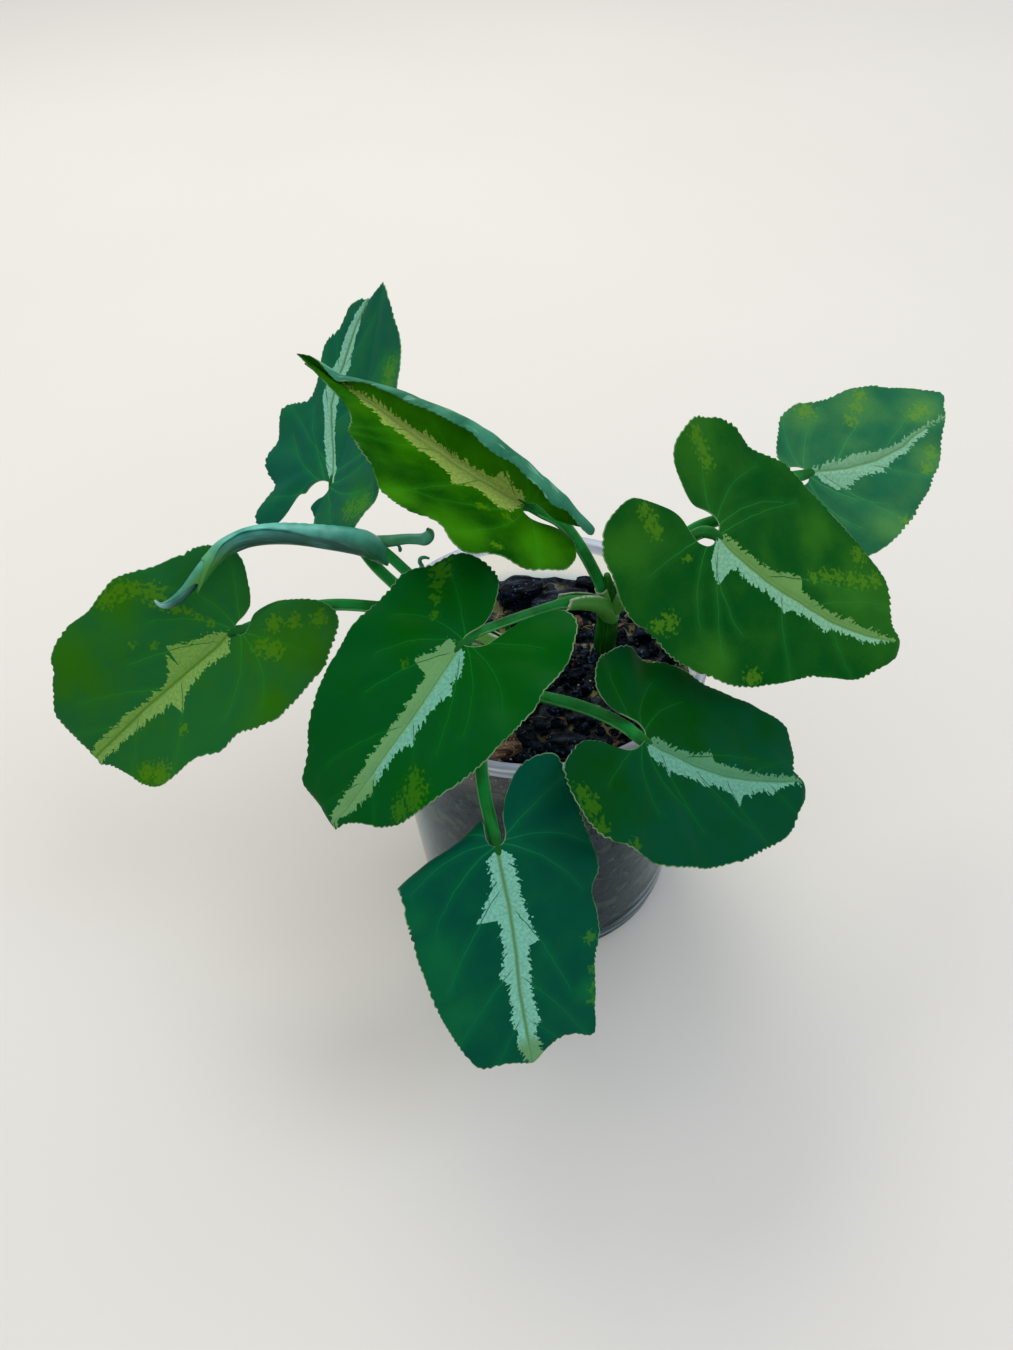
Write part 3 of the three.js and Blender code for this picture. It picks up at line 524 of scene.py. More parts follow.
# Each row: the name, the bed, the count on a square metre, the smallest and largest size and the
# proportions, the unevenness, the fineness, the seed, the finish and the slot.
CRUMBS = [
    ("charcoal_crumbs", "top", 110000, (0.6, 2.8), (1.0, 0.7, 0.55), 1.1, 2, 21, charcoal, "charcoal"),
    ("bark_crumbs", "top", 16000, (0.5, 2.0), (1.6, 0.6, 0.4), 0.8, 2, 22, bark, "bark"),
    ("wall_crumbs", "wall", 60000, (0.4, 1.0), (1.0, 0.8, 0.7), 0.5, 1, 23, charcoal, "charcoal"),
    ("wall_chips", "wall", 9000, (0.4, 1.0), (1.2, 0.7, 0.6), 0.5, 1, 24, bark, "bark"),
    ("white_grains", "top", 26000, (0.16, 0.42), (1.0, 0.8, 0.7), 0.2, 1, 25, white.material, "potting_mix"),
]
FIBRES = ("coconut_fibres", 26000, (2.0, 7.0), 0.011, 31)
BED_RISE = 0.3
BACK_FALL = 0.17
BACK_START = 20


class Growth:
    """A geometry node tree in the making, with named inputs that are set by their identifiers."""

    def __init__(self, name, inputs):
        self.tree = bpy.data.node_groups.new(name, "GeometryNodeTree")
        self.tree.interface.new_socket("Bed", in_out="INPUT", socket_type="NodeSocketGeometry")
        self.keys = {}
        for label, kind in inputs.items():
            made = self.tree.interface.new_socket(label, in_out="INPUT", socket_type="NodeSocket" + kind)
            self.keys[label] = made.identifier
        self.tree.interface.new_socket("Result", in_out="OUTPUT", socket_type="NodeSocketGeometry")
        self.source = self.tree.nodes.new("NodeGroupInput").outputs

    def node(self, kind, links=None, **settings):
        made = self.tree.nodes.new(kind)
        for name, setting in settings.items():
            setattr(made, name, setting)
        for socket, value in (links or {}).items():
            self.join(made.inputs[socket], value)
        return made

    def join(self, socket, value):
        if isinstance(value, bpy.types.NodeSocket):
            self.tree.links.new(value, socket)
        else:
            socket.default_value = value

    def vary(self, kind, low, high, seed):
        """A random value for each point, between low and high."""
        sockets = {"FLOAT_VECTOR": (0, 1, 0), "FLOAT": (2, 3, 1)}[kind]
        made = self.node("FunctionNodeRandomValue", {sockets[0]: low, sockets[1]: high, "Seed": seed},
                         data_type=kind)
        return made.outputs[sockets[2]]

    def strew(self, source, tilt):
        """Copies of a source on the bed, turned at random and as large as the inputs say."""
        points = self.node("GeometryNodeDistributePointsOnFaces", {
            "Mesh": self.source["Bed"], "Density": self.source["Per square metre"],
            "Seed": self.source["Seed"]})
        size = self.vary("FLOAT", self.source["Smallest"], self.source["Largest"], self.source["Seed"])
        spin = self.vary("FLOAT_VECTOR", (-tilt, -tilt, -math.pi), (tilt, tilt, math.pi),
                         self.source["Seed"])
        placed = self.node("GeometryNodeInstanceOnPoints", {
            "Points": points.outputs["Points"], "Instance": source, "Rotation": spin, "Scale": size})
        return self.node("GeometryNodeRealizeInstances", {0: placed.outputs[0]}).outputs[0]

    def roughen(self, geometry, scale):
        """Moves each point by a smooth random offset, so that no two copies keep the same shape."""
        noise = self.node("ShaderNodeTexNoise", {"Scale": scale})
        centred = self.node("ShaderNodeVectorMath", {0: noise.outputs["Color"], 1: (-0.5, -0.5, -0.5)},
                            operation="ADD")
        offset = self.node("ShaderNodeVectorMath", {
            0: centred.outputs[0], "Scale": self.source["Unevenness"]}, operation="SCALE")
        return self.node("GeometryNodeSetPosition", {0: geometry, "Offset": offset.outputs[0]}).outputs[0]

    def finish(self, geometry, smooth):
        shaded = self.node("GeometryNodeSetShadeSmooth", {0: geometry, "Shade Smooth": smooth})
        dressed = self.node("GeometryNodeSetMaterial", {0: shaded.outputs[0],
                                                        "Material": self.source["Finish"]})
        self.node("NodeGroupOutput", {0: dressed.outputs[0]})

    def grow(self, name, bed, values):
        """Runs the tree on a bed mesh and keeps the result as a plain mesh."""
        made = bpy.data.objects.new(name, bed)
        bpy.context.collection.objects.link(made)
        modifier = made.modifiers.new("growth", "NODES")
        modifier.node_group = self.tree
        for label, value in values.items():
            modifier[self.keys[label]] = value
        evaluated = made.evaluated_get(bpy.context.evaluated_depsgraph_get())
        grown = bpy.data.meshes.new_from_object(evaluated)
        made.modifiers.remove(modifier)
        made.data = grown
        dress(made)


STREWN = {"Per square metre": "Float", "Smallest": "Float", "Largest": "Float", "Unevenness": "Float",
          "Seed": "Int", "Finish": "Material"}
crumbling = Growth("strewn_crumbs", {**STREWN, "Proportions": "Vector", "Fineness": "Int"})
ball = crumbling.node("GeometryNodeMeshIcoSphere", {"Radius": 1.0,
                                                    "Subdivisions": crumbling.source["Fineness"]})
squashed = crumbling.node("GeometryNodeTransform", {0: ball.outputs[0],
                                                    "Scale": crumbling.source["Proportions"]})
crumbling.finish(crumbling.roughen(crumbling.strew(squashed.outputs[0], math.pi), 700.0), False)

fibrous = Growth("strewn_fibres", {**STREWN, "Thickness": "Float"})
bow = fibrous.node("GeometryNodeCurveQuadraticBezier", {
    "Resolution": 10, "Start": (-0.5, 0, 0), "Middle": (0, 0.3, 0.1), "End": (0.5, 0, 0)})
round_section = fibrous.node("GeometryNodeCurvePrimitiveCircle", {
    "Resolution": 5, "Radius": fibrous.source["Thickness"]})
strand = fibrous.node("GeometryNodeCurveToMesh", {0: bow.outputs[0], 1: round_section.outputs[0],
                                                  "Fill Caps": True})
fibrous.finish(fibrous.roughen(fibrous.strew(strand.outputs[0], 0.25), 260.0), True)


def bed_mesh(name, rings):
    mesh = bpy.data.meshes.new(name)
    faces = [face[::-1] for face in grid_faces(len(rings), MIX_SEGMENTS, closed=True)]
    mesh.from_pydata((np.concatenate(rings) * MM).tolist(), [], faces)
    return mesh


top_bed = []
for row in rows[1:MIX_RINGS - 2]:
    fall = BACK_FALL * np.clip(row[:, 1:2] - BACK_START, 0, 12)
    top_bed.append(row + (0, 0, BED_RISE) - fall * (0, 0, 1))
wall_bed = [row - row * (1, 1, 0) * 1.1 / top_radius for row in rows[MIX_RINGS + 1:-3]]
beds = {"top": bed_mesh("top_bed", top_bed), "wall": bed_mesh("wall_bed", wall_bed)}
for name, bed, count, sizes, shape, uneven, fineness, seed, material, slot in CRUMBS:
    crumbling.grow(name, beds[bed], {
        "Per square metre": float(count), "Smallest": sizes[0] * MM, "Largest": sizes[1] * MM,
        "Proportions": shape, "Unevenness": 2 * uneven * MM, "Fineness": fineness, "Seed": seed,
        "Finish": material})
name, count, lengths, thickness, seed = FIBRES
fibrous.grow(name, beds["top"], {
    "Per square metre": float(count), "Smallest": lengths[0] * MM, "Largest": lengths[1] * MM,
    "Thickness": thickness, "Unevenness": 2.4 * MM, "Seed": seed, "Finish": pale_fibre.material})


# The shoots. Two short fleshy stems stand in the mix, each wrapped by the bases of its leaf stalks.
SHOOT_STEPS = 60
SHOOT_SIDES = 24
SHOOTS = [
    ("shoot_back", [(19.6, 6, 58), (19.6, 6, 86), (20.2, 6.5, 97), (20.6, 6.4, 105), (20.4, 5.6, 112),
                    (19.8, 5, 117.4)], [3.3, 3.4, 3.4, 3.3, 2.9, 0.9]),
    ("shoot_front", [(-4.4, -9.6, 58), (-4.4, -9.6, 86), (-5, -10, 95), (-6, -10.8, 104),
                     (-7.4, -10.6, 112), (-8.4, -9.6, 117)], [2.8, 3, 3, 2.9, 1.8, 0.5]),
]


def spline(route, count):
    """Points evenly spread along a smooth curve through a route, and the directions along it."""
    route = np.asarray(route, float)
    ends = np.concatenate([[2 * route[0] - route[1]], route, [2 * route[-1] - route[-2]]])
    dense = []
    for i in range(1, len(ends) - 2):
        four = ends[i - 1:i + 3]
        knots = np.concatenate([[0], np.cumsum(np.linalg.norm(np.diff(four, axis=0), axis=1) ** 0.5)])
        t = np.linspace(knots[1], knots[2], 40, endpoint=i == len(ends) - 3)[:, None]
        a = [((knots[j + 1] - t) * four[j] + (t - knots[j]) * four[j + 1]) / (knots[j + 1] - knots[j])
             for j in range(3)]
        b = [((knots[j + 2] - t) * a[j] + (t - knots[j]) * a[j + 1]) / (knots[j + 2] - knots[j])
             for j in range(2)]
        dense.append(((knots[2] - t) * b[0] + (t - knots[1]) * b[1]) / (knots[2] - knots[1]))
    dense = np.concatenate(dense)
    run = np.concatenate([[0], np.cumsum(np.linalg.norm(np.diff(dense, axis=0), axis=1))])
    even = np.linspace(0, run[-1], count)
    points = np.stack([np.interp(even, run, dense[:, axis]) for axis in range(3)], 1)
    ahead = np.gradient(points, axis=0)
    return points, ahead / np.linalg.norm(ahead, axis=1)[:, None]


def frames_along(ahead, upward=(0.0, 0.0, 1.0)):
    """Directions to the right of and above a route, turning smoothly and starting near upward."""
    above = np.zeros_like(ahead)
    last = np.asarray(upward, float)
    for i, direction in enumerate(ahead):
        last = last + 0.15 * np.asarray(upward)
        last = last - direction * (last @ direction)
        last = last / np.linalg.norm(last)
        above[i] = last
    return np.cross(ahead, above), above


def tube(points, ahead, radius, sides, upward=(0.0, 0.0, 1.0)):
    """A closed tube: radius is a grid of rows along and columns round, counted from straight above."""
    right, above = frames_along(ahead, upward)
    turn = np.linspace(0, 2 * np.pi, sides, endpoint=False)
    radius = np.broadcast_to(radius, (len(points), sides))[..., None]
    rim = points[:, None] + radius * (np.sin(turn)[None, :, None] * right[:, None]
                                      + np.cos(turn)[None, :, None] * above[:, None])
    body = np.concatenate([rim.reshape(-1, 3), points[[0, -1]]])
    faces = [face[::-1] for face in grid_faces(len(points), sides, closed=True)]
    start, end = len(points) * sides, len(points) * sides + 1
    last = (len(points) - 1) * sides
    for k in range(sides):
        following = (k + 1) % sides
        faces.append((start, k, following))
        faces.append((end, last + following, last + k))
    return body, faces


def stalk_finish(name, deep, pale):
    """A smooth fleshy green with fine lengthwise lines. Its ridges, 1 in the third number that it reads,
    are pale, and its end on the blade, -1 there, is as dark as the blade."""
    finish = Finish(name, Roughness=0.45, Specular_IOR_Level=0.1)
    along, around, ridge = finish.parts("stalk")
    lines = finish.noise(finish.vector(along, around, 0.0), 1.0, 2.0, (0.08, 9.0, 1.0))
    cloud = finish.noise(finish.place(), 160.0, 2.0)
    colour = finish.mix(finish.step(cloud, 0.3, 0.7), deep, pale)
    colour = finish.mix(finish.step(lines, 0.5, 0.75) * 0.5, colour, srgb(70, 160, 70))
    colour = finish.mix(finish.step(ridge, 0.45, 0.95) * 0.5, colour, srgb(130, 200, 124))
    on_blade = finish.step(ridge * -1.0, 0.1, 0.9)
    finish.set("Base Color", finish.mix(on_blade, colour, srgb(12, 88, 26)))
    finish.bump(lines, 0.25, 0.0003)
    return finish.material


stalk_green = stalk_finish("fleshy_green_stalk", srgb(4, 108, 30), srgb(22, 140, 60))
stem_green = stalk_finish("dark_green_stem", srgb(6, 70, 10), srgb(28, 108, 18))


def stalk_marks(along, turn, ridge=0.0):
    """What the stalk finish reads: the way along and round for each point, and its ridge."""
    marks = np.broadcast_arrays(np.reshape(along, (-1, 1)), turn[None], ridge)
    return np.concatenate([np.stack([mark.ravel() for mark in marks], 1), np.zeros((2, 3))])


for name, route, radii in SHOOTS:
    points, ahead = spline(route, SHOOT_STEPS)
    share = np.linspace(0, 1, SHOOT_STEPS)
    turn = np.linspace(0, 2 * np.pi, SHOOT_SIDES, endpoint=False)
    radius = np.interp(share, np.linspace(0, 1, len(radii)), radii)[:, None]
    radius = radius * (0.97 + 0.03 * np.cos(3 * turn[None] + 4 * share[:, None]))
    body, faces = tube(points, ahead, radius, SHOOT_SIDES)
    piece(name + "_stem", body, faces, [stem_green], [name],
          attributes={"stalk": stalk_marks(share * 60, turn)})


# The open leaves. Each is a satin arrow-shaped blade on an arching stalk whose base sheathes the shoot.
# The blade is dark green with a silver stripe along its midrib, frayed along its side veins, and a few
# ragged yellow-green blotches. It grew as one piece with its stalk, and its edge is finely toothed.
ACUMEN_RADIUS = 3.5
RIPPLE_HEIGHT = 0.7
RIPPLE_COUNT = 11
RIPPLE_REACH = 25.0
HEM_WIDTH = 3.5
LOBE_SPAN = 0.4
CURL_SPAN = 0.5
BLADE_SEED = 70
BLADE_THICKNESS = 0.42
MARGIN_COUNT = 440
BLADE_SHARES = np.concatenate([np.linspace(0, 0.9, 38), np.linspace(0.9, 1, 8)[1:]])

# Join, tip and petiole are places in mm in the part's frame. Roll, bend, fold, curl, lobe and twist, all
# in degrees, say how the blade curves, and lobe_span over what share of its length a lobe does. A crease
# is where the right lobe starts to turn, and a hem is a strip of the right margin that is folded over.
# Left and right give how far the margin reaches from the join at each bearing, and sinus how wide an arch
# each half leaves behind the join. The other lists lie on the flat blade, in mm along and across from the
# join: the midrib, the stripe's two edges, the side veins' starts with their headings, and the blotches
# and the yellowish parts with their radius. The yellowish parts are partly the leaf's own fresher colour
# and partly painted light: the glow of light shining through a thin blade, and brightening laid over its
# shaded parts. Shade is the side and share of the stripe that is olive, a painted shade beside the midrib;
# all of it is olive past fades. Some leaves have a calmer stripe (fray), a wider one (spread), a slim stalk,
# a pale sheath, or a thin blade that more light shines through.
LEAVES = [
    dict(name="leaf_back_left", join=(-54.7, 36.4, 131.3), tip=(-33.2, 60.4, 180.6),
         roll=-16, bend=-25, fold=(8, 8), curl=(0, 0), lobe=(5, 5), twist=0,
         left=[(0, 56.6), (5, 52), (13, 51), (18, 49), (23, 44), (31, 41), (36, 35), (44, 30.5),
               (54, 29.5), (70, 33.5), (85, 29.5), (100, 29.5), (115, 24), (125, 26), (136, 30),
               (144, 27), (152, 18), (157, 13), (172, 10)], sinus=((0.45, 13), (0.35, 4)),
         right=[(6, 52), (17, 45), (25, 41), (33, 37), (50, 31), (65, 28), (85, 27), (105, 26.5),
                (125, 23.5), (145, 19), (160, 16), (173, 12.3), (186, 10), (196, 9), (203, 6)],
         petiole=[(-6, -10, 100), (-17, -5, 105), (-28, 3, 109), (-39, 11.3, 115.2), (-44.4, 16.5, 118.9),
                  (-51, 27.2, 124.6), (-54.7, 36.4, 131.3)], sheath=0.35,
         rib=[(0, 0.6), (3, -0.8), (5.3, -3), (9.6, -6), (14, -8.8), (19.6, -12), (28, -12.6), (36, -11.6),
              (42, -10.4), (50, -6.8), (57, 0)],
         stripe=([(0.8, 0), (2.4, -2.1), (3.9, -4.5), (5.3, -6), (9.6, -9.3), (12.4, -10.6), (15.3, -11.8),
                  (18.1, -13.6), (21, -15.4), (28, -15), (32, -14), (36, -13.7), (40, -12.9), (42, -12.4),
                  (44, -11.2), (47, -9.6), (49, -8.2), (50.5, -6.7)],
                 [(0.8, 1.6), (1.7, 0.7), (3.9, 0), (5.3, -1.4), (8, -3.6), (11, -5.7), (14, -7.5),
                  (17, -8.7), (20, -9.6), (28, -10.4), (30.3, -9.7), (32.1, -8.7), (34, -9.7), (40, -9.4),
                  (42, -8.4), (43.5, -8.6), (45, -9.2), (47, -8.2), (49, -7.1), (50.5, -6.5)]),
         laterals=[(4, -75), (16, -35), (30, -30), (3, 55), (14, 40), (30, 38)],
         blotches=[(35, 12, 4), (31, 14, 4), (0, 23, 4), (-3, 18, 3)],
         yellow_and_lit=[(33, 12, 9), (0, 20, 10)],
         deep=(16, 98, 76), fresh=(34, 124, 48), silver=(146, 218, 186), olive=(96, 146, 84), shade=0,
         fades=60, fray=0.4, spread=0.5),
    # The upper leaf's yellow fresh colour and its yellowish parts on the right half are partly painted
    # light: the glow of light shining through it, and brightening where its folded hem shades the blade.
    dict(name="leaf_upper", join=(-1.4, -0.9, 146.7), tip=(-55.4, 34.3, 171.2),
         roll=0, bend=4, fold=(15, 68), curl=(0, 20), lobe=(8, 4), twist=0, hem=(130, 15, 41, 9.3),
         left=[(0, 70), (4.5, 59), (7, 53.5), (11, 48.5), (21, 46), (31, 42.9), (40.6, 39.6), (48, 38.9),
               (56, 37.3), (63, 34.4), (67, 32), (72, 30.2), (80, 30.8), (88, 30.9), (95, 28.2),
               (102, 26.2), (110, 26.1), (127, 25.6), (141, 23.8), (153, 20.7), (166, 17), (176, 13),
               (182, 9)],
         right=[(3, 61), (6.6, 50), (14.8, 40.3), (25, 31.9), (38.6, 23.4), (60, 16.8), (90, 13.9),
                (118, 14.5), (137, 15.5), (150, 17.5), (160, 19.5), (167, 16), (174, 7)],
         sinus=((0.6, 6), (0.3, 4)),
         petiole=[(20.8, 6.6, 100), (19.8, 5.6, 108), (15.8, 5.7, 119.6), (11.7, 5.4, 129),
                  (7.2, 2.9, 137.8), (2.3, 1, 142.8), (-1.4, -0.9, 146.7)], sheath=0.22,
         rib=[(0, 0), (3, -0.6), (9.7, -1.6), (17, -2.3), (31, -2.1), (38, -1.3), (45, -0.8), (55, -0.5)],
         stripe=([(0.6, -3), (1.1, -6), (3.3, -7.7), (6, -8), (7.6, -7.4), (12, -7), (13.3, -7.7),
                  (14.7, -8.8), (15.8, -10.6), (16.5, -11.2), (17.3, -9.6), (18.3, -8.1), (20.4, -7.6),
                  (24, -6.9), (31, -5.9), (35, -5.6), (38.3, -4.9), (39.5, -6.6), (40.4, -5.2),
                  (42.6, -4.1), (45.4, -3.4), (49, -2.7), (55, -1.3), (57, -0.6)],
                 [(0.6, 1), (1.9, 1.9), (4.7, 2.6), (6, 3.4), (7.6, 4.5), (9.2, 4.6), (9.8, 2.6),
                  (10.4, 0.9), (17, 0.5), (35, 0.5), (38, 0.3), (42, 0.9), (45.4, 0.8), (49, 0.7),
                  (55, 0), (57, -0.4)]),
         laterals=[(13, -72), (35, -55), (26, -45), (2, 40), (20, 40), (47, -35)],
         blotches=[(-3, -23, 1.6), (7, -12, 1.6), (1, -9, 1.5)],
         yellow_and_lit=[(-10, -12, 13), (6, -26, 10), (22, -27, 6), (0, 2, 9), (10, 11, 26), (34, 8, 26),
               (50, 3, 14)],
         deep=(0, 80, 0), fresh=(66, 150, 4), silver=(186, 218, 104), olive=(206, 230, 122), shade=0,
         fades=70, through=0.4),
    dict(name="leaf_far_left", join=(-80.4, -2.7, 112.7), tip=(-122.2, -18.2, 85),
         roll=-38, bend=30, fold=(15, 15), curl=(0, 0), lobe=(4, 4), twist=2,
         left=[(0, 57), (6, 51), (15, 48.5), (23, 46.5), (30, 41.5), (37, 35), (49, 32), (58, 28),
               (68, 28), (79, 27.5), (91, 27), (110, 26.5), (132, 28), (150, 28), (160, 24.5), (171, 18),
               (182, 13), (190, 7)],
         right=[(4, 54.5), (13, 56.5), (17, 57), (21, 54.5), (28, 50.5), (35, 48), (42, 44.5), (49, 38.5),
                (57, 36), (65, 33.5), (73, 30), (83, 26.5), (95, 25), (114, 24.5), (132, 21), (143, 14),
                (156, 8)], sinus=((0.5, 3.2), (0.3, 3)),
         petiole=[(-6, -10.6, 104), (-15, -7.5, 104.5), (-26.2, -3, 108.2), (-36.5, 0.6, 113.2),
                  (-44.8, 1.4, 115.2), (-57.4, 2.1, 116), (-71, 1.5, 113), (-80.4, -2.7, 112.7)],
         sheath=0.3,
         rib=[(0, 1.2), (3, 0.9), (7, 0.4), (20, 0.3), (57, 0.6)],
         stripe=([(1.6, 1), (3.9, -1.4), (4.6, -3.3), (8, -2.9), (11, -2.6), (14.6, -3.2), (18, -3.6),
                  (20, -4.3), (21.2, -5), (22.3, -6.2), (23.6, -7.6), (24.3, -8), (24.7, -5.6), (25, -3.8),
                  (29, -3.9), (32, -3.2), (36, -2.9), (43, -2.5), (47, -2.1), (53, -2.1), (58, -1.8)],
                 [(1.6, 1.4), (2.4, 2.5), (3.9, 3.2), (5.3, 4.1), (7.4, 5), (11, 5.6), (12.4, 6.8),
                  (14.6, 7.9), (16.2, 9.1), (17.6, 8.6), (17.8, 7), (16.9, 4.6), (17.2, 2.2), (21.7, 2.1),
                  (25, 1.6), (29, 1.6), (32.4, 1.9), (36, 2.5), (40, 2.9), (47, 2.7), (49, 3.2),
                  (52, 2.5), (58, 2)]),
         laterals=[(19.5, -60), (36, -50), (4, 34), (24, 40), (40, 36)],
         blotches=[(38, -18, 3.6), (42, -14, 2.6), (-3, -8, 2.4), (-5, -11, 2.8), (-9, -5, 2.3),
                   (-14, -8, 2.2), (-20, -12, 2.4), (-10, -4.5, 2), (19, 28, 2.6), (15, 27, 2.6),
                   (12, 25, 2.2), (9.5, 21, 3), (8.6, 17, 1.8), (26, -12, 1.5), (3.4, 6.4, 1.1),
                   (4.8, 9.6, 1.1), (6, 12.4, 1.3), (8, 14.8, 1.3), (18.6, 11, 1.2), (22, 14.6, 1)],
         yellow_and_lit=[(-10, -14, 17), (38, 22, 15), (4, -23, 10), (18, 26, 10), (42, -16, 9)],
         deep=(28, 104, 48), fresh=(46, 114, 8), silver=(136, 184, 92), olive=(94, 144, 34), shade=0.4,
         fades=70),
    dict(name="leaf_front_left", join=(-18.8, -36.9, 135.3), tip=(-51.2, -59.3, 103.6),
         roll=-5, bend=32, fold=(4, 4), curl=(0, 0), lobe=(2, 2), twist=2,
         left=[(0, 55), (6, 49), (20, 44.5), (30, 40), (41, 35), (53, 31.5), (61, 30), (78, 27), (97, 25.5),
               (109, 25.7), (123, 27), (137, 28), (146, 26), (150.5, 22), (153, 12)],
         right=[(7, 55), (15, 54.5), (20, 49), (27, 43.5), (37, 38), (51, 32.5), (66, 28), (84, 25.5),
                (101, 25), (115, 24.2), (132, 23.6), (143, 22.6), (156, 20), (167, 16.5), (176, 11),
                (182, 6)], sinus=((0.27, 8.5), (0.2, 3.5)),
         petiole=[(21, 6.4, 101), (18.6, 3, 107.6), (14.8, 0.5, 111.7), (7.8, -5.9, 118),
                  (-2.1, -16.3, 124.8), (-12.2, -28, 131.8), (-16.9, -33.8, 135.2), (-18.8, -36.9, 135.3)],
         sheath=0.355, pale=0.1, slim=0.74,
         rib=[(0, 0), (5, -0.7), (10, -1.8), (16, -2.7), (25, -2.9), (35, -2.9), (42, -2.6), (48, -1.6),
              (54, 0.2)],
         stripe=([(0.8, -1.9), (1.9, -3.3), (3.3, -4.2), (5.4, -5.1), (7.6, -5.4), (9, -6.1), (10.2, -7.5),
                  (11, -6.4), (13.3, -6.4), (16, -6.1), (19, -5.9), (22, -6.6), (24.7, -7.7), (25.5, -6.6),
                  (27.6, -5.4), (41, -5.6), (44, -4.7), (46, -3.8), (48.3, -2.9), (51, -1.2)],
                 [(0.3, 1.6), (0.8, 3.7), (3.3, 3.7), (5, 3.8), (7, 5.2), (8.5, 6.1), (10, 6.5),
                  (10.3, 4.4), (10.6, 1), (13.3, 0.5), (16, 0.5), (20, 0.1), (23, 0.1), (24.7, 0.7),
                  (27.6, -0.1), (31, -0.2), (33.8, 1), (35, 0.5), (36, -0.4), (39, 0), (44.5, 1),
                  (46, 0.6), (50, 1.4), (52.5, 1)]),
         laterals=[(1.5, -42), (20.5, -50), (36, -42), (1.5, 37), (22, 40), (38, 36)],
         blotches=[(32, -16.5, 4.2), (29.5, -14, 2.6), (37, -15, 2.6), (-1, 11, 1.3), (-4, 14, 1.6),
                   (-7, 16.5, 1.8), (-10, 18.5, 3), (12, 8, 1)],
         yellow_and_lit=[(-6, -13, 20), (32, -16, 8), (-8, 14, 12), (6, 14, 10)],
         deep=(0, 86, 30), fresh=(0, 88, 4), silver=(124, 198, 168), olive=(108, 158, 82), shade=1,
         fades=34),
    dict(name="leaf_front", join=(-13.9, -71.4, 104.4), tip=(-9.6, -98.6, 54.5),
         roll=-10, bend=8, fold=(0, 0), curl=(0, 0), lobe=(3, -130), twist=0, lobe_span=0.1,
         crease=(-4, 0.47),
         left=[(0, 59), (5, 56), (12, 56.4), (16.5, 59.8), (20, 53), (28, 41), (40, 33.5), (48, 28.5),
               (62, 26), (79, 23.5),
               (93, 21.5), (111, 21.5), (126, 23.5), (137, 25), (146, 23), (157, 18), (163, 11)],
         sinus=((0.35, 4), (0.35, 4)),
         right=[(6, 57), (12, 58), (17, 53.5), (23, 47), (31, 40.5), (42, 33.5), (63, 26.5), (79, 24),
                (95, 23), (115, 22), (135, 21), (150, 18), (162, 12), (168, 6)],
         petiole=[(-5, -10, 96), (-7, -15, 99.5), (-9.4, -21, 103), (-12.8, -30.8, 106.2),
                  (-16.4, -45.4, 109), (-16.1, -59.4, 109), (-13.9, -71.4, 104.4)], sheath=0.3,
         rib=[(0, 0.2), (16, -0.4), (28, -0.1), (37, 0.4), (57, 0)],
         stripe=([(1, -0.8), (3, -2.4), (5.3, -3), (9, -3.5), (13, -3.6), (16, -4.2), (20, -4.4),
                  (22.4, -5.3), (24, -5.6), (26, -6.5), (26.5, -3.5), (29, -3), (35.3, -2.6), (41, -2.6),
                  (44.6, -3.1), (48.9, -2.3), (51.7, -2.3), (53.1, -2.9), (58, -3)],
                 [(1, 1), (3, 2.9), (5.3, 3.1), (9, 2.9), (11, 3.8), (12.5, 4.8), (14.5, 6), (16.5, 7.5),
                  (17.3, 8), (17.6, 2.8), (20, 2.6), (26.7, 2.7), (30.3, 3.6), (32.6, 4.6), (35.3, 2.9),
                  (41, 3.1), (44.6, 3.6), (48.9, 2.6), (51.7, 2.6), (53.2, 3), (55.5, 1.7), (58, 1.5)]),
         laterals=[(16, -31), (9.3, 46), (30, 50), (34, -40), (46, -42), (44, 38)],
         blotches=[(47, -18, 1.6), (43, -18.5, 1.8), (38, -18.8, 1.6), (29, -18.5, 1.8)],
         yellow_and_lit=[(40, 17, 10), (22, 19, 9), (30, 19, 8), (12, 21, 6), (44, -17, 5)],
         deep=(0, 82, 60), fresh=(10, 106, 62), silver=(136, 214, 186), olive=(100, 150, 84), shade=0,
         fades=49),
    dict(name="leaf_front_right", join=(22.4, -49.9, 112.7), tip=(62, -48.9, 90),
         roll=14, bend=-12, fold=(-3, -3), curl=(0, 0), lobe=(4, -4), twist=0,
         left=[(0, 51), (4, 46), (13, 49), (20, 49.5), (27, 44), (35, 37.5), (46, 32.5), (54, 30.5),
               (71, 26.5), (87, 24.8), (98, 26), (112, 24.2), (125, 22.8), (135, 20.4), (145, 16.8),
               (151, 13.4), (156, 9)],
         right=[(7, 47.5), (16, 45.5), (31, 39), (51, 34), (66, 31.5), (81, 30), (99, 28.5), (114, 29),
                (130, 29), (143, 26.8), (151, 25), (158, 22.5), (165, 18.5), (171, 15), (175, 12),
                (178, 8)], sinus=((0.5, 5.8), (0.3, 11)),
         petiole=[(-4.7, -9.8, 92), (-2.6, -16.5, 95.8), (1.3, -24.3, 101.8), (7.7, -31.1, 106),
                  (14.3, -39.2, 110), (19, -46, 112.6), (22.4, -49.9, 112.7)], sheath=0.2,
         rib=[(0, 0.3), (8.6, 0.9), (15.7, 2), (23, 2.6), (30, 2.1), (35, 1.3), (41, 0.3), (45, -0.7),
              (50, -1)],
         stripe=([(0.6, 0), (1.8, -0.6), (5, -1.8), (6.4, -1.4), (9.3, -0.9), (15, -1), (17, -1.6),
                  (19, -2.2), (20.4, -2.8), (20.9, -0.6), (23, -0.1), (30, 0), (33.6, -0.1), (36.4, -0.4),
                  (38.6, -1), (41, -1.2), (43, -1.7), (46, -1.3)],
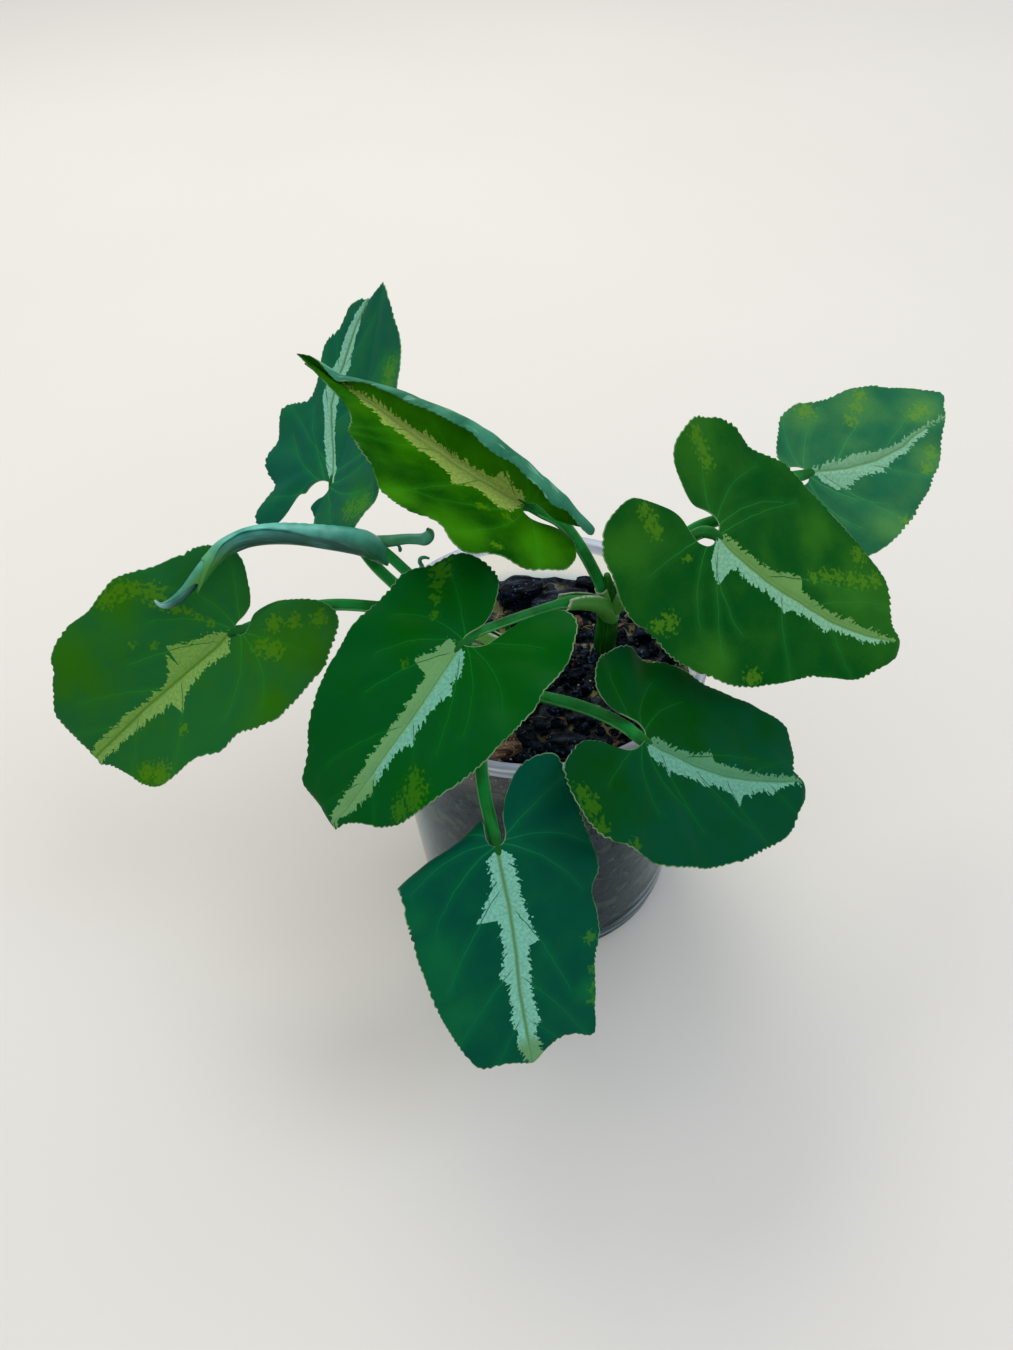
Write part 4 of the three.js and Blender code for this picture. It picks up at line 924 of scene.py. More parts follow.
                 [(0.6, 1.6), (1.4, 3.4), (3.6, 4.2), (5.7, 4.7), (6.8, 5.8), (7.7, 7.6), (8.2, 5.9),
                  (12, 5.8), (15, 5.9), (18, 6.9), (19.5, 6.4), (21.4, 5.8), (24, 6.3), (25.6, 6.9),
                  (26.6, 7.6), (27.5, 8.8), (28.4, 9.8), (29.2, 6.4), (32, 5.6), (34, 4.9), (36.4, 4.3),
                  (38, 4.2), (40, 2.7), (42, 1.6), (45, -0.3)]),
         laterals=[(12.5, -22), (30, -35), (4.5, 62), (24, 60), (14, 45), (36, 40)],
         blotches=[(-15, 21, 3), (-17.5, 18.5, 2.4), (-12, 25, 2.2), (-3, 27, 1.6)],
         yellow_and_lit=[(4, -14, 30), (-10, -14, 24), (-12, 16, 16), (38, -14, 6)],
         deep=(0, 76, 48), fresh=(0, 72, 4), silver=(112, 180, 154), olive=(78, 136, 88), shade=-1,
         fades=60),
    dict(name="leaf_right", join=(44.4, -9.1, 140.1), tip=(93.2, -15.3, 104.6),
         roll=32, bend=-9, fold=(-5, -5), curl=(0, 0), lobe=(9, 9), twist=-5,
         left=[(0, 66), (4, 60.5), (12, 60), (18, 58), (24, 52), (34, 44), (43, 40), (54, 36.5), (67, 32.5),
               (83, 28.7), (101, 29.9), (119, 29.7), (129, 28.4), (138, 26), (150, 21.4), (158, 15.8),
               (165, 9)],
         right=[(8, 60), (14, 56.5), (22, 48), (33, 42.5), (48, 39.5), (62, 36.5), (77, 34), (97, 32),
                (116, 32.5), (131, 33), (146, 33.6), (157, 32.3), (166, 28.3), (170, 24), (173, 15)],
         sinus=((0.6, 5.2), (0.66, 5.8)),
         petiole=[(21.2, 6.8, 103), (23.1, 4.8, 107), (28.4, 1.6, 114.1), (34.2, -0.3, 124.9),
                  (39.7, -3.2, 134.6), (42.3, -6.2, 138.6), (44.4, -9.1, 140.1)], sheath=0.3,
         rib=[(0, 0), (5.7, 1.2), (13, 2.3), (20, 2.9), (27, 3.2), (34, 3.4), (41, 3.4), (46, 2.9),
              (52, 2), (56, 1), (60, 0)],
         stripe=([(0.8, 0), (2.1, -0.4), (3.6, -0.9), (5, -1.4), (6.4, -1.4), (8.6, -0.4), (11, -0.6),
                  (15, 0), (20, -0.1), (22, -0.9), (24.3, -2), (26, -2.2), (28.8, -3), (29, -1.6),
                  (29.3, 0.6), (31, 0.9), (34, 1.3), (41, 1.4), (45, 1.3), (48.6, 0.7), (52, 0.4),
                  (55, 0), (60, -0.8)],
                 [(0.8, 1.2), (1.4, 6.4), (2.4, 8.2), (3.2, 9.4), (4.4, 9.6), (5.4, 10), (6.4, 10.8),
                  (7.1, 7.9), (7.9, 6.1), (9.3, 5), (11.4, 5.6), (17, 6.1), (20, 5.9), (23, 6.1),
                  (24.3, 6.8), (25.4, 7.7), (26.4, 8.1), (28, 6.9), (29.3, 6.1), (34, 6.3), (36.4, 6.1),
                  (38.6, 6.6), (40.7, 6.8), (41.4, 6), (43.6, 5), (48.6, 4.4), (51, 4.3), (53, 3.7),
                  (56, 2.6), (58, 1.3), (60, 0.2)]),
         laterals=[(1.5, 71), (24.5, 68), (18.5, -28), (1.5, -55), (34, -35), (40, 45)],
         blotches=[(-12, -18, 2.8), (-15, -19.5, 2.6), (-9, -15.5, 2.2), (-16, 8.5, 2), (-19, 7.5, 2.4),
                   (-22, 6.5, 2), (-3, 26, 2.6), (-5.5, 28, 2), (-5, 9.5, 1.4), (25, 27, 2.4),
                   (45, -19, 2.6), (52, -15, 2.2), (48, -12.5, 2.2), (44, -11, 2.2), (40, -9.5, 2.2),
                   (36, -7.5, 2), (32, -5, 1.8)],
         yellow_and_lit=[(30, -17, 9), (12, 29, 9), (-20, 15, 12), (50, -8, 18), (-14, -18, 18)],
         deep=(0, 80, 22), fresh=(44, 112, 26), silver=(140, 204, 164), olive=(104, 150, 52), shade=-1,
         fades=80),
    dict(name="leaf_far_right", join=(77.5, 26.6, 130.1), tip=(126.2, 46.9, 132.9),
         roll=26, bend=18, fold=(-3, -3), curl=(0, 0), lobe=(58, 5), twist=-6, lobe_span=0.2,
         left=[(0, 47), (4, 49.5), (9, 53.5), (13, 50.5), (19, 44.5), (27, 38), (40, 30), (53, 24.5),
               (71, 22), (82, 19.5), (90, 16.5), (98, 14), (112, 11), (128, 9), (140, 6)],
         right=[(5, 43.5), (15, 39.5), (28, 35), (44, 31.5), (60, 30), (81, 28), (100, 27), (118, 26.5),
                (136, 26), (150, 23), (161, 16), (167, 8)], sinus=((0.4, 4), (0.4, 4)),
         petiole=[(21, 7.4, 106), (23, 7.4, 109.5), (29.1, 7.8, 115), (37, 8.3, 123), (43.8, 7.9, 129),
                  (50, 9, 130.5), (62.5, 18.8, 131), (72, 25, 130.6), (77.5, 26.6, 130.1)], sheath=0.25,
         rib=[(0, -0.3), (4, 0.7), (11, 3), (20, 4.1), (29, 3.4), (34, 1.6), (40, 0.6), (48, 0)],
         stripe=([(0.8, -0.2), (4, -0.6), (6, -0.8), (8.3, -0.6), (11, 0.1), (15, 0), (17, 0.6), (18.3, 1.6),
                  (23, 2.1), (26, 2.3), (29, 1.9), (32.6, 1.1), (36, 0.3), (40, -0.2), (46, -0.6)],
                 [(1.6, 0.6), (2.6, 4.1), (3.3, 4.8), (4.7, 6.6), (5.8, 7.7), (6.5, 7.2), (7.8, 8.6),
                  (8.8, 8.4), (9.7, 7.6), (11, 7.1), (14, 6.9), (16, 7.6), (18.5, 8.1), (19.6, 8.2),
                  (21, 7.1), (24, 6.2), (27.6, 5.6), (30, 5.1), (32, 4.7), (34, 3.3), (37, 2.6),
                  (39, 1.2), (41, 0.6), (46, 0.1)]),
         laterals=[(3, 64), (16, 42), (8, -40), (22, -32), (30, 40), (34, -30)],
         blotches=[(42, -5, 2.8), (38, -4, 2.2), (27, -16, 2), (24, -13, 2.2), (20, -10, 2), (10, -18, 2.8),
                   (36, 8, 2), (18, 24, 2.2), (32, 12, 2)],
         yellow_and_lit=[(42, -6, 8), (24, -13, 8), (8, -17, 7), (34, 10, 7), (12, 22, 8)],
         deep=(30, 108, 74), fresh=(78, 140, 74), silver=(140, 200, 164), olive=(104, 152, 92), shade=-0.5,
         fades=80),
]


def unit(vector):
    return vector / np.linalg.norm(vector)


def smooth(value, low, high):
    share = np.clip((value - low) / np.maximum(high - low, 1e-9), 0, 1)
    return share * share * (3 - 2 * share)


def carry(start, run, rate):
    """Takes a place (advance, height, slope) in the midrib's plane onward while its slope turns."""
    advance, height, slope = start
    turned_slope = slope + rate * run
    straight = np.abs(rate) < 1e-9
    safe = np.where(straight, 1.0, rate)
    ahead = np.where(straight, run * np.cos(slope), (np.sin(turned_slope) - np.sin(slope)) / safe)
    rise = np.where(straight, run * np.sin(slope), (np.cos(slope) - np.cos(turned_slope)) / safe)
    return advance + ahead, height + rise, turned_slope


class Blade:
    """A leaf's blade as a surface that takes places on the flat leaf, along and across, to space."""

    def __init__(self, leaf):
        self.leaf = leaf
        self.bend = math.radians(leaf["bend"])
        self.join = np.array(leaf["join"], float)
        chord = np.array(leaf["tip"], float) - self.join
        self.length = np.linalg.norm(chord) * (self.bend / 2 / math.sin(self.bend / 2))
        chord = unit(chord)
        level = unit(np.cross(chord, (0, 0, 1)))
        roll = math.radians(leaf["roll"])
        self.across = math.cos(roll) * level - math.sin(roll) * np.cross(level, chord)
        above = np.cross(self.across, chord)
        self.onward = math.cos(self.bend / 2) * chord + math.sin(self.bend / 2) * above
        self.up = np.cross(self.across, self.onward)
        self.outlines = [np.array(leaf["left"], float), np.array([leaf["left"][0], *leaf["right"]], float)]

    def pick(self, name, side):
        return np.where(side, self.leaf[name][1], self.leaf[name][0]).astype(float)

    def rib_offset(self, u):
        """How far the midrib lies to the side of the straight line from the join to the tip."""
        along, off = np.array(self.leaf["rib"]).T
        return np.interp(u, along, off)

    def place(self, u, v, lift=0.0):
        u, v, lift = np.broadcast_arrays(np.asarray(u, float), v, lift)
        side, w = v >= 0, np.abs(v)
        first, slope = self.leaf.get("crease", (0, 0))
        start = np.where(side, first + slope * w, 0)
        inner = np.clip(u, start, self.length)
        rib = carry((0.0, 0.0, 0.0), inner, -self.bend / self.length)
        span = self.leaf.get("lobe_span", LOBE_SPAN) * self.length
        turning = np.clip(u - start, -span, 0)
        behind = carry(rib, turning, np.radians(self.pick("lobe", side)) / span)
        behind = carry(behind, np.minimum(u - start - turning, 0), 0.0)
        past = carry(rib, np.maximum(u - self.length, 0), -1 / ACUMEN_RADIUS)
        rib = [np.where(u > self.length, p, b) for b, p in zip(behind, past)]
        steps = 32 if "hem" in self.leaf else 6
        out, rise = np.zeros(u.shape), np.zeros(u.shape)
        for k in range(steps):
            at = (k + 0.5) * w / steps
            angle = self.pick("fold", side) + self.pick("curl", side) * at / (CURL_SPAN * self.length)
            if "hem" in self.leaf:
                turn, middle, half_length, width = self.leaf["hem"]
                line = np.maximum(width * (1 - ((u - middle) / half_length) ** 2), 0)
                angle = angle + side * turn * smooth(at, line, line + HEM_WIDTH)
            out = out + w / steps * np.cos(np.radians(angle))
            rise = rise + w / steps * np.sin(np.radians(angle))
        out = np.where(side, out, -out)
        turn = np.radians(self.leaf["twist"] * u / self.length)
        normal = -np.sin(rib[2])[..., None] * self.onward + np.cos(rib[2])[..., None] * self.up
        return (self.join + rib[0][..., None] * self.onward + rib[1][..., None] * self.up
                + (out * np.cos(turn) + rise * np.sin(turn))[..., None] * self.across
                + (rise * np.cos(turn) - out * np.sin(turn) + lift)[..., None] * normal)

    def normal(self, u, v, lift=0.0):
        nudge = 0.05
        here = self.place(u, v, lift)
        sideways = np.where(np.asarray(v) >= 0, nudge, -nudge)
        ahead = self.place(np.asarray(u) + nudge, v, lift) - here
        beside = (self.place(u, v + sideways, lift) - here) * np.sign(sideways)[..., None]
        normal = np.cross(beside, ahead)
        return normal / np.linalg.norm(normal, axis=-1)[..., None]

    def reach(self, bearing):
        """The margin's distance from the join, by a smooth curve through each half's outline."""
        result = np.zeros(len(bearing))
        for side, outline in enumerate(self.outlines):
            chosen = (bearing >= 0) == bool(side)
            angle, size = np.abs(bearing[chosen]), len(outline)
            index = np.clip(np.searchsorted(outline[:, 0], angle, side="right") - 1, 0, size - 2)
            before, first = outline[np.maximum(index - 1, 0)], outline[index]
            second, after = outline[index + 1], outline[np.minimum(index + 2, size - 1)]
            span = second[:, 0] - first[:, 0]
            t = (angle - first[:, 0]) / span
            m0 = (second[:, 1] - before[:, 1]) / np.maximum(second[:, 0] - before[:, 0], 1e-6) * span
            m1 = (after[:, 1] - first[:, 1]) / np.maximum(after[:, 0] - first[:, 0], 1e-6) * span
            curve = (first[:, 1] * (2 * t ** 3 - 3 * t ** 2 + 1) + m0 * (t ** 3 - 2 * t ** 2 + t)
                     + second[:, 1] * (3 * t ** 2 - 2 * t ** 3) + m1 * (t ** 3 - t ** 2))
            low = np.minimum(first[:, 1], second[:, 1]) - 0.5
            high = np.maximum(first[:, 1], second[:, 1]) + 0.5
            result[chosen] = np.clip(curve, low, high)
        return result

    def rib_groove(self, u):
        """How deep the groove over the midrib lies below the blade's surface."""
        return 0.45 * smooth(u, 1, 6) * (1 - smooth(u, 0.9 * self.length, self.length))

    def veins(self):
        """The side veins as arcs: the circle's centre and radius, the arc's middle and half its width."""
        length = self.length
        routes = [(u, float(self.rib_offset(u)), heading, 0.5 * length, 16)
                  for u, heading in self.leaf["laterals"]]
        for side in (-1, 1):
            routes += [(0, 0.6 * side, 66 * side, 0.44 * length, 40),
                       (-0.5, 0.9 * side, 96 * side, 0.4 * length, 48),
                       (-1.0, 0.9 * side, 128 * side, 0.36 * length, 12)]
        arcs = []
        for u, v, heading, run, turn in routes:
            start, aim = complex(u, v), math.radians(heading)
            ahead = complex(math.cos(aim), math.sin(aim))
            bend = -math.copysign(math.radians(turn), heading)
            centre = start + run / bend * ahead * 1j
            middle = centre + (start - centre) * complex(math.cos(bend / 2), math.sin(bend / 2))
            arcs.append((centre, abs(run / bend), middle, abs(start - middle)))
        return arcs


TOOTH_PITCH = 1.9
TOOTH_DEPTH = 0.5
TOOTH_RISE = 0.25
VEIN_SINK = 0.5


def toothed_margin(blade, seed):
    """Bearings round the blade at even steps of its margin, its reach there and the depth of its teeth."""
    dense = np.arange(-blade.outlines[0][-1, 0], blade.outlines[1][-1, 0] + 0.05, 0.1)
    reach = blade.reach(dense)
    steps = np.hypot(np.diff(reach), (reach[1:] + reach[:-1]) / 2 * np.radians(np.diff(dense)))
    run = np.concatenate([[0], np.cumsum(steps)])
    even = np.linspace(0, run[-1], MARGIN_COUNT + 1)
    line = np.stack([even, np.full(len(even), 3.3), np.zeros(len(even))], 1)
    tooth = (even / TOOTH_PITCH + 0.8 * rough(line, 5.0, seed)) % 1
    depth = TOOTH_DEPTH + 0.45 * rough(line, 3.5, seed + 9)
    notch = depth * np.minimum(tooth / TOOTH_RISE, (1 - tooth) / (1 - TOOTH_RISE))
    notch = notch + 0.4 * rough(line, 4.5, seed + 3)
    notch = notch * smooth(even, 0, 8) * smooth(run[-1] - even, 0, 8)
    return np.radians(np.interp(even, run, dense)), np.interp(even, run, reach), notch


def blade_relief(blade, seed, u, v, radius, angle):
    """How far the blade rises in ripples and bumps and sinks along its veins and midrib."""
    share = BLADE_SHARES[:, None]
    phase = 2 * math.pi * next(draws(seed))
    lift = RIPPLE_HEIGHT * share ** 2 * np.minimum(radius / RIPPLE_REACH, 1)
    lift = lift * np.sin(RIPPLE_COUNT * angle + phase)
    groove = np.zeros(u.shape)
    for centre, size, middle, half in blade.veins():
        near = np.abs(np.hypot(u - centre.real, v - centre.imag) - size)
        away = np.hypot(u - middle.real, v - middle.imag)
        groove = np.maximum(groove, np.exp(-near / 2.2) * smooth(1.25 * half - away, 0, 0.4 * half))
    lift = lift - VEIN_SINK * groove * smooth(radius, 1, 8) * (1 - 0.4 * share)
    lift = lift - blade.rib_groove(u) * np.exp(-(v - blade.rib_offset(u)) ** 2)
    flat = np.stack([u.ravel(), v.ravel(), np.zeros(u.size)], 1)
    bumps = (0.1 * rough(flat, 3.0, seed + 1) + 0.35 * rough(flat, 8.0, seed + 2)).reshape(u.shape)
    return lift + bumps * smooth(radius, 2, 10)


def blade_faces(rows, columns):
    """Faces of a blade's two sides and of its edge, and the number of each one's finish."""
    count = rows * columns
    upper = [face for face in grid_faces(rows, columns) if face[0] >= columns]
    upper += [(columns + k, columns + k + 1, 0) for k in range(columns - 1)]
    faces = [face[::-1] for face in upper] + [tuple(n + count for n in face) for face in upper]
    ring = [0] + [columns * i for i in range(1, rows)]
    ring += [columns * (rows - 1) + k for k in range(1, columns)]
    ring += [columns * i + columns - 1 for i in range(rows - 2, 0, -1)]
    edge = [(a, a + count, b + count, b) for a, b in zip(ring, ring[1:] + ring[:1])]
    return faces + edge, [0] * len(upper) + [1] * len(upper) + [0] * len(edge)


def part(points, faces, finish, **attributes):
    """One mesh of a grown piece, with a finish number for all its faces or for each."""
    numbers = finish if isinstance(finish, list) else [finish] * len(faces)
    return dict(points=points, faces=faces, finish=numbers, attributes=attributes)


def blade_mesh(leaf, blade, seed):
    """A blade as two sides a leaf's thickness apart and the edge between them."""
    angle, reach, notch = toothed_margin(blade, seed)
    share = BLADE_SHARES[:, None]
    radius = share * (reach - notch * smooth(share, 0.88, 1.0))
    opening, within = np.array(leaf["sinus"])[(angle > 0).astype(int)].T
    turned_angle = angle * (1 - opening * np.exp(-(radius / within) ** 2))
    u, v = radius * np.cos(turned_angle), radius * np.sin(turned_angle)
    lift = blade_relief(blade, seed, u, v, radius, angle)
    here = blade.place(u, v, lift)
    half = (BLADE_THICKNESS / 2) * (1 - 0.5 * smooth(share, 0.93, 1.0))[..., None]
    outward = blade.normal(u, v, lift) * half
    points = np.concatenate([(here + outward).reshape(-1, 3), (here - outward).reshape(-1, 3)])
    faces, finish = blade_faces(*u.shape)
    to_sinus = np.minimum(angle - angle[0], angle[-1] - angle)
    to_edge = np.minimum((1 - share) * reach, radius * (to_sinus + 0.01))

    def falloff(spots, softness):
        near = [np.clip((1 - np.hypot(u - a, v - b) / (softness * r)), 0, 1) for a, b, r in spots]
        return np.max(near, axis=0)

    def double(*values):
        return np.tile(np.stack([np.broadcast_to(value, u.shape).ravel() for value in values], 1), (2, 1))

    return part(points, faces, finish, leaf_place=double(u, v, share),
                leaf_marks=double(falloff(leaf["blotches"], 1.6), falloff(leaf["yellow_and_lit"], 1.3), to_edge))


def vein_distance(finish, flat, blade):
    """The distance in mm from a place on the blade to the nearest side vein."""
    nearest = 9.0
    for centre, size, middle, half in blade.veins():
        ring = abs(finish.distance(flat, (centre.real, centre.imag, 0)) - size)
        past = finish.distance(flat, (middle.real, middle.imag, 0)) - half
        nearest = finish.math("MINIMUM", nearest, finish.math("MAXIMUM", ring, past))
    return nearest


def tinged(colour, share, add=(0, 0, 0)):
    """A share of a display colour, with some of another added."""
    return srgb(*(np.array(colour) * share + add))


def inside_stripe(finish, leaf, flat, along, across, off, fray):
    """How far a place lies inside the silver stripe, in mm. Its edges fray in clumps that slant back."""
    shifted = along + (fray - 0.5) * 0.9
    left, right = (finish.curve(shifted, points) for points in leaf["stripe"])
    start, end = leaf["stripe"][0][0][0], max(points[-1][0] for points in leaf["stripe"]) + 1
    inside = finish.math("MINIMUM", across - left, right - across)
    inside = finish.math("MINIMUM", inside, finish.math("MINIMUM", shifted - start, end - shifted))
    root = finish.vector(along - abs(off) * 0.8, finish.math("SIGN", off), abs(off) * 0.12)
    comb = finish.noise(root, 1.1, 5.0)
    clump = finish.step(finish.noise(flat, 0.4, 2.0), 0.4, 0.62)
    ragged = (comb - 0.5) * (clump * 4.6 + 1.8) + (fray - 0.5) * 3.0
    return inside + ragged * leaf.get("fray", 1.0) + leaf.get("spread", 0.0)


def stripe_colour(finish, leaf, along, off, fray, vein):
    """Silver, olive along the midrib and towards the tip, olive on one side as a painted shade, and cut by
    thin dark veins.
    """
    away = abs(off)
    band = finish.fade(away, 0.2, 0.75)
    # Painted shade: olive on the one side of the midrib that its ridge shades.
    if leaf["shade"]:
        shaded_side = finish.step(off * math.copysign(1.0, leaf["shade"]), 0.1, 0.5)
        band = finish.math("MAXIMUM", band, shaded_side * abs(leaf["shade"]))
    band = finish.math("MAXIMUM", band, finish.step(along, leaf["fades"], leaf["fades"] + 5))
    cut = finish.fade(vein, 0.0, 0.2) * finish.step(away, 0.6, 2.2)
    cut = finish.math("MAXIMUM", cut, finish.fade(away, 0.06, 0.24) * 0.28)
    silver = finish.mix(finish.step(fray, 0.25, 0.7), tinged(leaf["silver"], 0.84), srgb(*leaf["silver"]))
    silver = finish.mix(band * 0.8, silver, srgb(*leaf["olive"]))
    return finish.mix(cut * finish.step(along, 1.0, 4.0), silver, srgb(*leaf["deep"]))


def blade_finish(leaf, blade):
    """The upper side: clouded green with yellowish parts that are partly painted light, pale veins,
    yellow-green blotches, the stripe, and a pale rim that is a painted edge highlight.
    """
    finish = Finish(leaf["name"] + "_upper_face", Specular_IOR_Level=0.03)
    along, across, share = finish.parts("leaf_place")
    blotch, yellow_and_lit, edge = finish.parts("leaf_marks")
    flat = finish.vector(along, across, 0.0)
    fine, fray = finish.noise(flat, 1.1, 4.0), finish.noise(flat, 1.3, 5.0)
    waves = finish.node("ShaderNodeTexNoise", flat, None, 0.25).outputs["Color"]
    wavy = finish.node("ShaderNodeVectorMath", flat, waves, operation="ADD").outputs[0]
    vein = vein_distance(finish, wavy, blade)
    line = finish.fade(vein, 0.0, share * -0.14 + 0.32)
    cloud = finish.noise(flat, 0.09, 2.0) - 0.5
    # These spots make the green fresher and yellower: partly the leaf's own colour, partly painted light
    # where light shines through or where the blade lies in shade.
    tone = finish.step(yellow_and_lit, 0.0, 1.0) * 0.7 + cloud * 1.2 + (fine - 0.5) * 0.3

    colour = finish.mix(finish.step(tone, -0.25, 0.95), srgb(*leaf["deep"]), srgb(*leaf["fresh"]))
    colour = finish.mix(finish.fade(vein, 0.2, 2.2) * 0.16, colour, tinged(leaf["fresh"], 0.8, (10, 40, 26)))
    colour = finish.mix(line * (share * -0.5 + 0.72), colour, tinged(leaf["fresh"], 0.6, (14, 74, 36)))
    spots = finish.step((finish.noise(flat, 0.9, 6.0) - 0.5) * 3.0 + blotch, 0.28, 0.72)
    spots = spots * finish.step(blotch, 0.02, 0.2) * 0.66
    colour = finish.mix(spots, colour, tinged(leaf["fresh"], 0.55, (57.6, 75.6, 9)))
    off = across - finish.curve(along, leaf["rib"])
    inside = inside_stripe(finish, leaf, flat, along, across, off, fray)
    silver = stripe_colour(finish, leaf, along, off, fray, vein)
    colour = finish.mix(finish.step(inside, -0.04, 0.12), colour, silver)
    # Painted edge highlight: a thin pale line along the margin.
    rim = finish.fade(edge, 0.1, 0.28) * finish.step(finish.noise(flat, 0.15, 2.0), 0.3, 0.55)
    colour = finish.mix(rim * 0.6, colour, srgb(160, 200, 146))

    finish.set("Base Color", colour)
    finish.set("Roughness", finish.ramp(fine, 0.2, 0.8, 0.4, 0.52))
    finish.bump(line * -0.6 + fine * 0.35, 0.3, 0.0003)
    through = leaf.get("through", 0.15)
    finish.lit_through(through, finish.mix(0.3, colour, srgb(10 + 150 * (through - 0.15), 150, 0)))
    return finish.material


underside = Finish("leaf_underside", Roughness=0.5, Specular_IOR_Level=0.25)
under_place = underside.vector(*underside.parts("leaf_place")[:2], 0.0)
under_cloud = underside.noise(under_place, 0.12, 3.0)
under_lines = underside.noise(under_place, 0.5, 3.0, (0.3, 1.4, 1.0))
colour = underside.mix(underside.step(under_cloud, 0.3, 0.7), srgb(22, 112, 80), srgb(64, 152, 118))
underside.set("Base Color", underside.mix(underside.step(under_lines, 0.56, 0.66), colour,
                                          srgb(104, 176, 142)))
underside.bump(under_lines, 0.3, 0.0004)
underside.lit_through(0.2, srgb(80, 160, 40))

PETIOLE_STEPS = 90
PETIOLE_SIDES = 28
STALK_UPWARD = (0.0, -0.45, 0.9)
STALK_RADII = (1.95, 1.85, 1.65, 1.55, 1.5)
RIDGE_ANGLE = 1.2


def petiole_mesh(leaf, blade):
    """The stalk from the shoot to the blade and on, as the midrib, beneath the blade to its tip."""
    route, _ = spline(leaf["petiole"], PETIOLE_STEPS)
    share = np.linspace(0, 1, PETIOLE_STEPS)
    sheath = leaf["sheath"]
    thick = np.interp(share, (0, sheath - 0.02, sheath + 0.03, 0.86, 1), STALK_RADII)
    slimmed = smooth(share, sheath, sheath + 0.1) * (1 - smooth(share, 0.85, 1.0))
    thick = thick * (1 - (1 - leaf.get("slim", 1.0)) * slimmed)
    route = route - (0.4 * smooth(share, 0.86, 1.0) * thick)[:, None] * blade.normal(0.5, 0.0)
    along = np.linspace(0.6, min(0.97 * blade.length, leaf["left"][0][1] - 1.5), 60)
    off = blade.rib_offset(along)
    rib_radius = np.interp(along / blade.length, (0, 0.04, 0.12, 0.5, 1), (1.35, 1.1, 0.8, 0.5, 0.2))
    lift = -blade.rib_groove(along)
    sink = rib_radius + 0.3 - 1.0 * (1 - smooth(along, 0.6, 4.0))
    under = blade.place(along, off, lift) - blade.normal(along, off, lift) * sink[:, None]
    points = np.concatenate([route[:-2], under])
    ahead = np.gradient(points, axis=0)
    ahead /= np.linalg.norm(ahead, axis=1)[:, None]
    turn = np.linspace(0, 2 * np.pi, PETIOLE_SIDES, endpoint=False)
    off = np.abs((turn + np.pi) % (2 * np.pi) - np.pi)
    section = 1 - 0.2 * np.exp(-(off / 0.6) ** 2) + 0.06 * np.exp(-((off - RIDGE_ANGLE) / 0.25) ** 2)
    radius = np.concatenate([thick[:-2], rib_radius])[:, None] * section[None]
    body, faces = tube(points, ahead, radius, PETIOLE_SIDES, STALK_UPWARD)
    run = np.concatenate([[0], np.cumsum(np.linalg.norm(np.diff(points, axis=0), axis=1))])
    on_blade = smooth(np.arange(len(points)), PETIOLE_STEPS - 9, PETIOLE_STEPS)[:, None]
    ridge = np.exp(-((off - RIDGE_ANGLE) / 0.28) ** 2)[None] * (1 - on_blade) - on_blade
    return part(body, faces, 2, stalk=stalk_marks(run, turn, ridge))


def sheet_faces(rows, columns):
    """Faces of a thin closed sheet: a grid of outer points, then the same grid of inner points."""
    count = rows * columns
    quads = grid_faces(rows, columns)
    faces = [face[::-1] for face in quads] + [tuple(n + count for n in face) for face in quads]
    ring = list(range(columns))
    ring += [columns * i + columns - 1 for i in range(1, rows)]
    ring += [columns * (rows - 1) + k for k in range(columns - 2, -1, -1)]
    ring += [columns * i for i in range(rows - 2, 0, -1)]
    return faces + [(b, b + count, a + count, a) for a, b in zip(ring, ring[1:] + ring[:1])]


SHEATH_AROUND = 29
SHEATH_THICKNESS = 0.22


def sheath_mesh(route, share, seed, pale, finish):
    """The stalk's sheath: a membrane round its lower part, open above, with pale ragged margins."""
    route, ahead = spline(route, PETIOLE_STEPS)
    rows = int(share * 1.12 * PETIOLE_STEPS)
    right, above = frames_along(ahead[:rows])
    along = np.linspace(0, 1, rows)[:, None]
    across = np.linspace(-1, 1, SHEATH_AROUND)[None]
    half = np.radians(174 - 34 * along ** 2)
    turn = np.pi + across * half
    flat = np.stack([v.ravel() for v in np.broadcast_arrays(along * 12, across * 5, 3.7)], 1)
    uneven = rough(flat, 1.1, seed).reshape(turn.shape)
    radius = 2.8 - 0.8 * np.sqrt(along) + (0.5 * along + 0.15) * np.abs(across) ** 5
    radius = radius + 0.12 * uneven * np.abs(across)
    slide = (0.9 * uneven + 1.2 * np.abs(across) - 0.6) * smooth(along, 0.7, 1.0)
    normals = np.sin(turn)[..., None] * right[:, None] + np.cos(turn)[..., None] * above[:, None]
    outside = route[:rows, None] + radius[..., None] * normals + slide[..., None] * ahead[:rows, None]
    inside = outside - SHEATH_THICKNESS * normals
    points = np.concatenate([outside.reshape(-1, 3), inside.reshape(-1, 3)])
    marks = np.stack([v.ravel() for v in np.broadcast_arrays(along, np.abs(across), pale)], 1)
    return part(points, sheet_faces(rows, SHEATH_AROUND), finish, sheath=np.tile(marks, (2, 1)))


